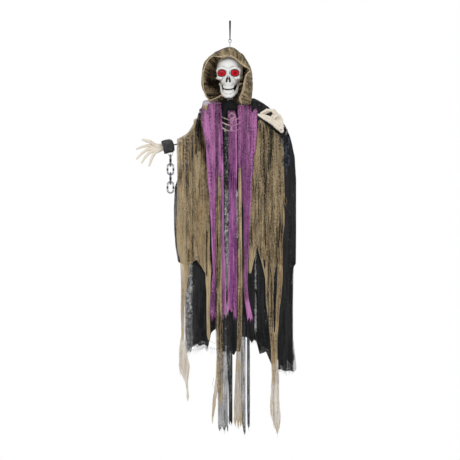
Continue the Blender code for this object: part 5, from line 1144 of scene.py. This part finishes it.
# Braincase, brow, face, cheeks, nose bridge and upper jaw, then the rims of the eyes
SKULL_FORMS = forms(
    (ball, (0, 8, 12), (63, 77, 77), 4), (ball, (0, -40, 24), (49, 35, 40)),
    (ball, (0, -36, -34), (41, 34, 44)), (ball, (0, 24, -34), (44, 42, 30)), (ball, (0, -70, 3), (12, 8, 9)),
    (both, limb, [(7, -71, 4), (20, -75, 11), (34, -72, 13), (48, -61, 9), (55, -50, 0)],
     (5, 6.5, 6.5, 6, 5)),
    (both, ball, (45, -54, -31), (11, 10, 10)), (both, ball, (37, -60, -34), (9, 9, 8)),
    (both, limb, [(47, -52, -32), (56, -34, -32), (60, -14, -28), (59, 8, -22)], (6.5, 5, 4.5, 5)),
    (limb, [(0, -73, 2), (0, -79, -10), (0, -83, -21)], (6, 5.2, 4.2)),
    (both, limb, [(5, -78, -20), (11, -76, -34), (10.5, -75, -48)], (3.2, 3.6, 3.6)),
    (ball, (0, -47, -56), (24, 28, 27)), (gum, 20.5, -69, 6), (limb, [(0, -72, -50), (0, -72, -60)], 5),
    (limb, eye_ring(1, 21, 18.4, -66), 3.4), (limb, eye_ring(-1, 21, 18.4, -66), 3.4))
UPPER_TEETH = teeth(-87, -70, 26, 3.5)
# Temples, hollows under the cheeks, eyes, nose, folds beside the mouth and the palate
SKULL_HOLLOWS = forms(
    (both, ball, (78, -34, 4), (17, 24, 24)), (both, ball, (58, -60, -58), (20, 26, 16)),
    (both, squared, (EYE_X, -66, EYE_Z), (19.6, 21, 17.0), 2.8),
    *[(both, limb, [(4.6, y, -29), (7, y, -40), (7.6, y, -51)], (3, 5, 5.6)) for y in range(-88, -63, 6)],
    (both, limb, [(8, -92, -66), (10, -74, -74)], 1.4), (ball, (0, -8, -86), (30, 42, 20)))
CASE_HOLLOW = squared((0, 71, -2), (31.4, 15, 29.4), 12)
# Gum, chin, lower edge, the upright part behind the cheeks and the hinge knobs
JAW_FORMS = forms(
    (gum, 23.5, -104, 6.5), (ball, (0, -61, -116), (14, 10, 11)),
    (both, limb, [(0, -66, -118), (11, -64, -119), (21, -56, -112), (29, -42, -103), (35, -24, -92)],
     (9, 9, 8.5, 8, 7)),
    (both, limb, [(35, -24, -92), (38.5, -16, -74), (42, 4, -58)], (6.6, 5.6, 6)),
    (both, ball, (47, 14, -53), (5.5, 8, 8)), (both, ball, (7, -70, -121), (8, 6, 6)))
LOWER_TEETH = teeth(-101.5, -91, 25, 3.3)
CHIN_HOLLOW = ball((0, -78, -106), (14, 5, 3))
# A black plug deep in the nose: painted shade, since the carved hole is too shallow to go dark by itself
NOSE_SHADE = squared((0, -58, -41), (15, 12, 20), 2.6)


def raw_object(parts):
    bm = bmesh.new()
    for part in parts:
        part(bm)
    mesh = bpy.data.meshes.new("raw")
    bm.to_mesh(mesh)
    bm.free()
    return linked("raw", mesh)


def baked(obj):
    """Swaps an object's mesh for its evaluated one."""
    mesh = bpy.data.meshes.new_from_object(obj.evaluated_get(bpy.context.evaluated_depsgraph_get()))
    obj.modifiers.clear()
    obj.data = mesh


def remeshed(obj, voxel, rounds):
    remesh = obj.modifiers.new("remesh", "REMESH")
    remesh.mode = "VOXEL"
    remesh.voxel_size = voxel
    soften = obj.modifiers.new("soften", "SMOOTH")
    soften.iterations = rounds
    soften.factor = 0.5
    baked(obj)


def carve(obj, cutters, voxel):
    """Takes the cutters out of a form."""
    tool = raw_object(cutters)
    remeshed(tool, voxel, 1)
    cut = obj.modifiers.new("cut", "BOOLEAN")
    cut.operation = "DIFFERENCE"
    cut.solver = "EXACT"
    cut.object = tool
    baked(obj)
    bpy.data.objects.remove(tool)


def join(obj, parts):
    extra = raw_object(parts)
    bm = bmesh.new()
    bm.from_mesh(obj.data)
    bm.from_mesh(extra.data)
    bm.to_mesh(obj.data)
    bm.free()
    bpy.data.objects.remove(extra)


def halved(mesh, plane, toward):
    """Drops all that lies on one side of an upright plane and closes the cut."""
    bm = bmesh.new()
    bm.from_mesh(mesh)
    cut = bmesh.ops.bisect_plane(bm, geom=bm.verts[:] + bm.edges[:] + bm.faces[:], plane_co=(0, plane, 0),
                                 plane_no=(0, toward, 0), clear_inner=True)
    rim = [e for e in cut["geom_cut"] if isinstance(e, bmesh.types.BMEdge)]
    bmesh.ops.holes_fill(bm, edges=rim, sides=0)
    bm.to_mesh(mesh)
    bm.free()


def read(items, name, width, kind=float):
    values = np.empty(len(items) * width, dtype=kind)
    items.foreach_get(name, values)
    return values.reshape(-1, width)


def hollows(mesh):
    """How far each point lies under the surface smoothed around it."""
    places, normals = read(mesh.vertices, "co", 3), read(mesh.vertices, "normal", 3)
    ends = read(mesh.edges, "vertices", 2, int)
    degree = np.maximum(np.bincount(ends.ravel(), minlength=len(places)), 1)[:, None]
    soft = places.copy()
    for _ in range(WEAR_ROUNDS):
        total = np.zeros_like(soft)
        np.add.at(total, ends[:, 0], soft[ends[:, 1]])
        np.add.at(total, ends[:, 1], soft[ends[:, 0]])
        soft = soft * 0.4 + total / degree * 0.6
    return ((soft - places) * normals).sum(axis=1)


def cast(name, parts, key, body, replaced, cutters=(), late=(), voxel=1.2, rounds=4, place=Matrix(),
         keep=(), deepest=2.2):
    """One moulded form: a union of parts less the cutters, then the late parts such as teeth."""
    obj = raw_object(parts)
    remeshed(obj, voxel, 2)
    if cutters:
        carve(obj, cutters, voxel)
    if late:
        join(obj, late)
    remeshed(obj, voxel, rounds)
    if keep:
        halved(obj.data, *keep)
    # The depth of each hollow becomes painted shade in the bone material
    depths = hollows(obj.data) / deepest
    obj.data.transform(place @ TO_METRES)
    set_values(obj, "painted_light_and_wear", np.clip(depths, 0, 1))
    return finished(obj, name, key, body, replaced)


def ring_tube(points, radius):
    """A closed ring of the given points as a tube; the last point repeats the first."""
    points = [Vector(p) for p in points[:-1]]
    count = len(points)
    middle = sum(points, Vector()) / count
    verts, faces = [], []
    for n, point in enumerate(points):
        ahead = (points[(n + 1) % count] - points[n - 1]).normalized()
        out = (point - middle).normalized()
        out = (out - ahead * out.dot(ahead)).normalized()
        up = ahead.cross(out)
        start, after = n * SOCKET_SIDES, (n + 1) % count * SOCKET_SIDES
        for k in range(SOCKET_SIDES):
            angle = math.tau * k / SOCKET_SIDES
            verts.append(point + (out * math.cos(angle) + up * math.sin(angle)) * radius)
            turned = (k + 1) % SOCKET_SIDES
            faces.append((start + k, start + turned, after + turned, after + k))
    return verts, faces


def make_eye(side, tag):
    """A red lens in a black ring of painted shade, the shade of the eye socket around it."""
    node_name = "eye_lens_" + tag
    lens = raw_object(squared((0, 0, 0), LENS_SIZE, LENS_POWER, 5))
    away = [math.hypot(v.co.x / LENS_SIZE[0], v.co.z / LENS_SIZE[2]) for v in lens.data.vertices]
    set_values(lens, "middle", [max(0, 1 - a * LENS_FADE) * LENS_DARK for a in away])
    move = Matrix.Translation((side * EYE_X, LENS_Y, EYE_Z)) @ Matrix.Rotation(side * LENS_TURN, 4, "Z")
    lens.data.transform(SKULL_PLACE @ TO_METRES @ move)
    finished(lens, "eye_red_" + tag, "red_lens", "skull", node_name)
    tube = ring_tube(eye_ring(side, *SOCKET_SHADE_RING), SOCKET_SHADE_RADIUS)
    shade_ring = new_object("eye_shade_ring_" + tag, *tube, "socket_black", "skull", node_name)
    shade_ring.data.transform(SKULL_PLACE @ TO_METRES)


def make_skull():
    cast("skull_front", SKULL_FORMS, "skull_bone", "skull", "skull_face", SKULL_HOLLOWS, UPPER_TEETH,
         place=SKULL_PLACE, keep=(11.8, -1))
    cast("skull_rear", SKULL_FORMS, "skull_bone", "skull", "skull_back", SKULL_HOLLOWS + CASE_HOLLOW,
         voxel=1.8, place=SKULL_PLACE, keep=(12.2, 1))
    cast("skull_jaw", JAW_FORMS, "skull_bone", "jaw", "jaw", CHIN_HOLLOW, LOWER_TEETH, place=SKULL_PLACE)
    make_eye(-1, "left")
    make_eye(1, "right")
    # Painted shade inside the nose
    cast("nose_shade", NOSE_SHADE, "socket_black", "skull", "skull_face", voxel=1.5, place=SKULL_PLACE)


# Hands

LEFT_WRIST = (-322, -6, -603)
RIGHT_WRIST = (240, -104, -527)
LEFT_FINGERS = (
    ((-350, -12, -592), (-378, -28, -575), (-395, -32, -571), (-411, -34, -566)),
    ((-372, -9, -594), (-392, -12, -593), (-414, -15, -598), (-441, -20, -609)),
    ((-372, -8, -606), (-393, -11, -612), (-415, -14, -628), (-440, -21, -655)),
    ((-368, -8, -618), (-384, -10, -628), (-400, -14, -646), (-417, -20, -673)),
    ((-354, -8, -624), (-364, -10, -640), (-373, -12, -661), (-382, -15, -688)))
RIGHT_FINGERS = (
    ((208, -114, -502), (186, -126, -488), (160, -132, -474), (133, -129, -457)),
    ((220, -114, -468), (196, -128, -436), (170, -133, -436), (143, -130, -450)),
    ((230, -108, -466), (206, -110, -436), (182, -113, -438), (159, -113, -452)),
    ((238, -110, -476), (228, -122, -460), (214, -132, -462), (201, -136, -474)))
LEFT_PALM = forms((ball, (-346, -8, -605), (25, 9, 23)), (ball, (-330, -7, -602), (17, 10, 20)))
RIGHT_PALM = forms(
    (limb, [(224, -110, -500), (200, -117, -481), (174, -123, -468), (150, -128, -458)], (15, 12, 9, 6)),
    (ball, (218, -110, -484), (22, 11, 24)), (ball, (204, -114, -466), (15, 9, 14)))
FINGER_RADII = (7.6, 7.2, 6.2, 4.6)
THUMB_RADII = (9.5, 8.6, 7.4, 5.6)
KNUCKLE = 1.16
ROOT = 1.12
PALM_RADIUS = 11
NAIL_SIZE = (4.6, 1.8, 4.6)
CREASE_DEPTH = 8.3
HANDS = (
    ("left", LEFT_WRIST, LEFT_FINGERS, LEFT_PALM, Vector((0, 1, 0))),
    ("right", RIGHT_WRIST, RIGHT_FINGERS, RIGHT_PALM, Vector((0, -1, 0))))


def make_finger(heel, points, thumb, back):
    """One finger with its bone in the palm, knuckles and nail; back points away from the palm."""
    radii = THUMB_RADII if thumb else FINGER_RADII
    parts = limb(points, radii)
    for joint, radius in zip(points[1:3], radii[1:3]):
        parts += ball(joint, (radius * KNUCKLE,) * 3, 2)
    root, before, tip = Vector(points[0]), Vector(points[-2]), Vector(points[-1])
    parts += limb([heel.lerp(root, 0.12), heel.lerp(root, 0.55), root],
                  (PALM_RADIUS, PALM_RADIUS + thumb, radii[0] * ROOT))
    return parts + ball(tip - (tip - before).normalized() * 2 + back * 3.4, NAIL_SIZE, 2)


def make_creases(points, back):
    """Shallow grooves across the inside of a finger's two middle joints."""
    parts = []
    for a, b in zip(points[1:3], points[2:4]):
        way = (Vector(b) - Vector(a)).normalized()
        spot = Vector(a) + way * 3 - back * CREASE_DEPTH
        across = way.cross(Vector((0, 1, 0))).normalized() * 7
        parts += limb([spot - across, spot + across], 1.5)
    return parts


def make_hands():
    for side, wrist, fingers, palm, back in HANDS:
        heel = Vector(wrist)
        parts, creases = [], []
        for n, points in enumerate(fingers):
            parts += make_finger(heel, points, n == 0, back)
            creases += make_creases(points, back)
        run = (heel - sum((Vector(f[0]) for f in fingers), Vector()) / len(fingers)).normalized()
        parts += palm + limb([heel - run * 6, heel + run * 3], (12, 11))
        cast("hand_cast_" + side, parts, "hand_ivory", side + "_hand", "hand_" + side, creases, voxel=1.1,
             rounds=3, deepest=2.6)


# Finer copies of CAD forms

LEFT_ARM = ((-137, 0, -430), (-152, 0, -496), (-190, 0, -551), (-240, 0, -582))
RIGHT_ARM = ((140, 0, -424), (178, 0, -452), (226, 0, -499), (262, 0, -538))
ARMS = (("left", LEFT_ARM, LEFT_WRIST), ("right", RIGHT_ARM, RIGHT_WRIST))
LINKS = 4
SLEEVE_SQUEEZE = 0.6
CUFF_SQUEEZE = 0.98
CRUMPLE = 2.4
RUB, RUB_SPREAD = 0.5, 0.8
# Surfaces facing up, forward and left, toward the key light, get a painted highlight on top of the random rub
LIT_SIDE = Vector((-0.3, -0.6, 0.7))
RUB_AWAY_FROM_LIGHT = 0.25
SLEEVE_FOLDS = (((12 * MM, 14 * MM, 26 * MM), 1.8 * MM), ((7 * MM, 8 * MM, 15 * MM), 0.8 * MM))
CUFF_FOLDS = {
    "left": (((30 * MM, 9 * MM, 9 * MM), 1.6 * MM), ((14 * MM, 5 * MM, 5 * MM), 0.7 * MM)),
    "right": (((9 * MM, 30 * MM, 9 * MM), 1.6 * MM), ((5 * MM, 14 * MM, 5 * MM), 0.7 * MM)),
}
SCARF_FOLDS = (((13 * MM, 13 * MM, 26 * MM), 3.6 * MM), ((26 * MM, 16 * MM, 11 * MM), 1.6 * MM))
RIB_FOLDS = (((7 * MM, 7 * MM, 7 * MM), 0.5 * MM),)


def near_on(way, spot):
    """The closest place to spot on a chain of points."""
    places = []
    for a, b in zip(way, way[1:]):
        run = b - a
        places.append(a + run * min(1, max(0, (spot - a).dot(run) / run.length_squared)))
    return min(places, key=lambda place: (place - spot).length)


def crumple(mesh, folds, way):
    """Presses folds into a mesh, the same way in and out around a tube of cloth."""
    normals = [v.normal.copy() for v in mesh.vertices]
    for vert, normal in zip(mesh.vertices, normals):
        rise = 0.0
        for scale, high in folds:
            spot = Vector(c / s for c, s in zip(vert.co, scale))
            rise += high * (1 - CRUMPLE * abs(noise.noise(spot)))
        if way and normal.dot(vert.co - near_on(way, vert.co)) < 0:
            rise = -rise
        vert.co += normal * rise
    return normals


def rubbed_and_lit(mesh, normals, wear):
    """Where plastic is rubbed bare at random, strongest on surfaces that face up, forward and left, toward
    the key light: a painted highlight where the second colour is lighter.
    """
    values = []
    for vert, normal in zip(mesh.vertices, normals):
        rub = RUB + RUB_SPREAD * noise.noise(vert.co * wear)
        facing = max(0, normal.dot(LIT_SIDE))
        values.append(min(1, max(0, rub * mix(RUB_AWAY_FROM_LIGHT, 1, facing))))
    return values


def from_cad(name, source, key, body, levels=0, voxel=0, rounds=0, folds=(), wear=None, way=None):
    """A finer copy of a CAD node's form; way is the line through the middle of a tube of cloth."""
    old = NODES[source]
    mesh = bpy.data.meshes.new_from_object(old.evaluated_get(bpy.context.evaluated_depsgraph_get()))
    mesh.transform(old.matrix_world)
    obj = linked(name, mesh)
    if voxel:
        remeshed(obj, voxel, rounds)
    if levels:
        finer = obj.modifiers.new("finer", "SUBSURF")
        finer.levels = finer.render_levels = levels
        baked(obj)
    normals = crumple(obj.data, folds, way)
    if wear:
        set_values(obj, "painted_light_and_wear", rubbed_and_lit(obj.data, normals, wear))
    return finished(obj, name, key, body, source)


def tube_cloth(obj, way, share):
    """Draws a tube of cloth in toward its middle line by share. Declares half of its two-sided
    surface.
    """
    for vertex in obj.data.vertices:
        vertex.co = mix(near_on(way, vertex.co), vertex.co, share)


def make_arms():
    for side, points, wrist in ARMS:
        arm = [Vector(p) * MM for p in points]
        forearm = [arm[-1], Vector(wrist) * MM]
        body = side + "_forearm"
        sleeve = from_cad("sleeve_cloth_" + side, "sleeve_" + side, "scarf_cloth", "torso", 2,
                          folds=SLEEVE_FOLDS, way=arm)
        tube_cloth(sleeve, arm, SLEEVE_SQUEEZE)
        cuff = from_cad("cuff_cloth_" + side, "cuff_" + side, "cuff_cloth", body, 1, 1.6 * MM, 6,
                        CUFF_FOLDS[side], way=forearm)
        tube_cloth(cuff, forearm, CUFF_SQUEEZE)
        from_cad("tie_cord_" + side, "chain_tie_" + side, "black_thread", body, 1)
        for n in range(1, LINKS + 1):
            tag = "%s_%d" % (side, n)
            from_cad("chain_" + tag, "link_" + tag, "chain_plastic", "%s_link_%d" % (side, n), 2, wear=120)


def make_scarf_and_ribs():
    from_cad("scarf_bundle", "neck_scarf", "scarf_cloth", "torso", 0, 1.7 * MM, 2, SCARF_FOLDS)
    from_cad("rib_cast", "rib_plate", "rib_ivory", "torso", 0, 1.2 * MM, 5, RIB_FOLDS, wear=90)


# Hood

HOOD_HALF_WIDTH = 122 * MM
HOOD_SHIFT = -13 * MM
HOOD_TOP = -126 * MM
HOOD_LOW = -390 * MM
HOOD_RIM_Y = -86 * MM
HOOD_SIDE_Y = -14 * MM
HOOD_BACK_Y = 118 * MM
HOOD_MIDDLE = Vector((HOOD_SHIFT, 8 * MM, -262 * MM))
HOOD_RIM_SHARES = np.array((
    (-0.15, 0.13), (-0.44, 0.06), (-0.68, 0.03), (-0.85, 0.16), (-0.92, 0.36), (-0.87, 0.58), (-0.60, 0.785),
    (-0.25, 0.775), (0.13, 0.785), (0.46, 0.68), (0.66, 0.61), (0.86, 0.555), (0.71, 0.47), (0.64, 0.37),
    (0.57, 0.20), (0.46, 0.05), (0.54, -0.03)))
HOOD_ARCH_SHARES = np.array((
    (-0.42, 0.05), (-0.60, 0.01), (-0.75, 0.04), (-0.94, 0.20), (-1.0, 0.39), (-0.96, 0.56), (-0.84, 0.745),
    (-0.47, 0.90), (0.09, 1.0), (0.47, 0.92), (0.71, 0.79), (0.92, 0.60), (0.98, 0.44), (0.98, 0.28),
    (0.96, 0.10), (0.92, -0.02), (0.74, -0.06)))
HOOD_COLUMNS = 132
HOOD_ROWS = 72
HOOD_LIP = 0.375
HOOD_FLAT = (0.78, 0.34)
HOOD_SEAM = 0.7
RIM_POINTS = 151
RIM_RADIUS = 1.1 * MM
RIM_OUT = 1.2 * MM
SWIRL_WAVES, SWIRL = (13, 0, 3.2, 4.4), 4.2 * MM
CREASE_WAVES, CREASE = (21, 2, 5, 8.1), 2.6 * MM
FINE_WAVES, FINE_CREASE = (46, 0, 11, 2.5), 1.2 * MM
BLOT_WAVES, BLOT_TONE, BLOT_COVER = (9, 0, 6, 1.1), 0.35, 0.05
SETTLE = 2.5 * MM
CALM_DEPTH = 0.06
PEAK_U, PEAK_WIDTH, PEAK_CALM = 0.52, 0.07, 0.6
RIM_TONE, RIM_FADE = 0.30, 22
HOOD_SEED = 3
RIM_CORDS = ((0.004, 0), (0.028, 1.5 * MM))
RIM_ROUGH = 1.6 * MM
RIM_LOW = -330 * MM
RIM_THREAD_SHARE = 0.35
RIM_THREAD_LENGTH = (5 * MM, 16 * MM)
RIM_THREAD_LEAN = 0.5


def smooth_at(table, share):
    """A place on the smooth curve through evenly numbered points."""
    reach = min(max(share, 0), 1) * (len(table) - 1)
    i = min(int(reach), len(table) - 2)
    t = reach - i
    a, b, c, d = (table[min(max(k, 0), len(table) - 1)] for k in (i - 1, i, i + 1, i + 2))
    return 0.5 * (2 * b + (c - a) * t + (2 * a - 5 * b + 4 * c - d) * t**2 + (3 * b - a - 3 * c + d) * t**3)


def hood_noise(u, v, waves):
    around_hood, slant, back, seed = waves
    return noise.noise(Vector((u * around_hood + v * slant, v * back, seed)))


def hood_place(u, v, inset=0.0):
    """A place on the hood: u runs around the face opening, v from its rim to the back."""
    rim, arch = smooth_at(HOOD_RIM_SHARES, u), smooth_at(HOOD_ARCH_SHARES, u)
    if v <= HOOD_LIP:
        share = v / HOOD_LIP
        x, z = rim + (arch - rim) * math.sin(share * math.pi / 2)
        y = mix(HOOD_RIM_Y, HOOD_SIDE_Y, share)
    else:
        turn = (v - HOOD_LIP) / (1 - HOOD_LIP) * math.pi / 2
        y = mix(HOOD_SIDE_Y, HOOD_BACK_Y, math.sin(turn))
        seam = HOOD_SEAM * (1 - abs(2 * u - 1))
        x, z = arch[0] * math.cos(turn), mix(seam, arch[1], math.cos(turn))
    place = Vector((HOOD_SHIFT + HOOD_HALF_WIDTH * x, y, mix(HOOD_LOW, HOOD_TOP, z)))
    crease = 1 - CRUMPLE * abs(hood_noise(u, v, CREASE_WAVES))
    fine = 1 - CRUMPLE * abs(hood_noise(u, v, FINE_WAVES))
    rise = hood_noise(u, v, SWIRL_WAVES) * SWIRL + crease * CREASE + fine * FINE_CREASE - SETTLE
    rise *= float(ease(v / CALM_DEPTH)) * (1 - PEAK_CALM * math.exp(-(((u - PEAK_U) / PEAK_WIDTH) ** 2)))
    return place + (place - HOOD_MIDDLE).normalized() * (rise - inset)


def hood_sheet(name, key, inset, first, tone, cover, back_shade):
    """One layer of the hood from v = first to the back, with painted shade that deepens toward the back by
    the given amount.
    """
    verts, flat, tones, covers = [], [], [], []
    for j in range(HOOD_ROWS + 1):
        v = mix(first, 1, j / HOOD_ROWS)
        for i in range(HOOD_COLUMNS + 1):
            u = i / HOOD_COLUMNS
            blot = hood_noise(u, v, BLOT_WAVES)
            verts.append(hood_place(u, v, inset))
            flat.append((u * HOOD_FLAT[0], v * HOOD_FLAT[1], HOOD_SEED))
            # Tone: random blots, a lighter rim, and painted shade that deepens toward the back
            tones.append(tone + BLOT_TONE * blot + RIM_TONE * math.exp(-v * RIM_FADE) - back_shade * (v - first))
            covers.append(cover + BLOT_COVER * blot)
    wide = HOOD_COLUMNS + 1
    starts = [j * wide + i for j in range(HOOD_ROWS) for i in range(HOOD_COLUMNS)]
    faces = [(n, n + 1, n + wide + 1, n + wide) for n in starts]
    obj = new_object(name, verts, faces, key, "torso", "hood")
    set_weave(obj, flat, covers, tones)
    return obj


def rim_threads():
    """Two rough cords along the rim of the hood, with loose ends."""
    shares = [n / (RIM_POINTS - 1) for n in range(RIM_POINTS)]
    edges = [[hood_place(u, v, -RIM_OUT) - Vector((0, out, 0)) for u in shares] for v, out in RIM_CORDS]
    verts, faces = [], []
    for edge in edges:
        rough = []
        for p in edge:
            off = [noise.noise(p * 160), noise.noise(p * 140), noise.noise(p * 150 + Vector((3, 1, 7)))]
            rough.append(p + Vector(off) * RIM_ROUGH)
        tube_points(verts, faces, rough, RIM_RADIUS, sides=6, taper=False)
    draw = random.Random(77)
    for edge in edges:
        for spot in edge[::2]:
            if spot.z < RIM_LOW or draw.random() < RIM_THREAD_SHARE:
                length, seed = draw.uniform(*RIM_THREAD_LENGTH), draw.random() * 40
                way = wander(spot, length, seed, draw.uniform(-RIM_THREAD_LEAN, RIM_THREAD_LEAN))
                tube_points(verts, faces, way, THREAD_RADIUS)
    return new_object("hood_rim_threads", verts, faces, "rim_thread", "torso", "hood")


def make_hood():
    shell = hood_sheet("hood_gauze", "hood_gauze", inset=0, first=0, tone=0.42, cover=0.93, back_shade=0)
    # The inside: an extra sheet under the gauze that stands in for its shaded inside, light near the opening
    # as painted light, darker toward the back as painted shade
    inside_sheet = hood_sheet("hood_shaded_inside", "hood_inside", inset=3 * MM, first=0.16, tone=0.85, cover=1, back_shade=1.1)
    rim = rim_threads()


# Materials of the CAD nodes that stay, where their name differs from the slot's

SLOT_MATERIALS = {
    "ribbon_black": "hanging_ribbon", "bone": "skull_bone", "cell": "cell_wrap", "lead": "lead_red",
    "wire": "arm_wire", "black_cloth": "scarf_cloth",
}


def dress_cad():
    """Every CAD node that stays takes the material of its slot."""
    for part in frame["record"]["subparts"]:
        slot = part["material_slot"]
        mesh = NODES[part["node"]].data
        mesh.materials.clear()
        mesh.materials.append(material(SLOT_MATERIALS.get(slot, slot)))


bpy.context.scene.view_settings.view_transform = "Standard"
make_camera()
make_world()
for light in LIGHTS:
    make_light(*light)
make_stage()
dress_cad()
make_robe()
make_cloak()
make_left_cape()
make_right_cape()
make_back_cape()
make_panels()
make_strips()
make_tatters()
make_skull()
make_hands()
make_arms()
make_scarf_and_ribs()
make_hood()
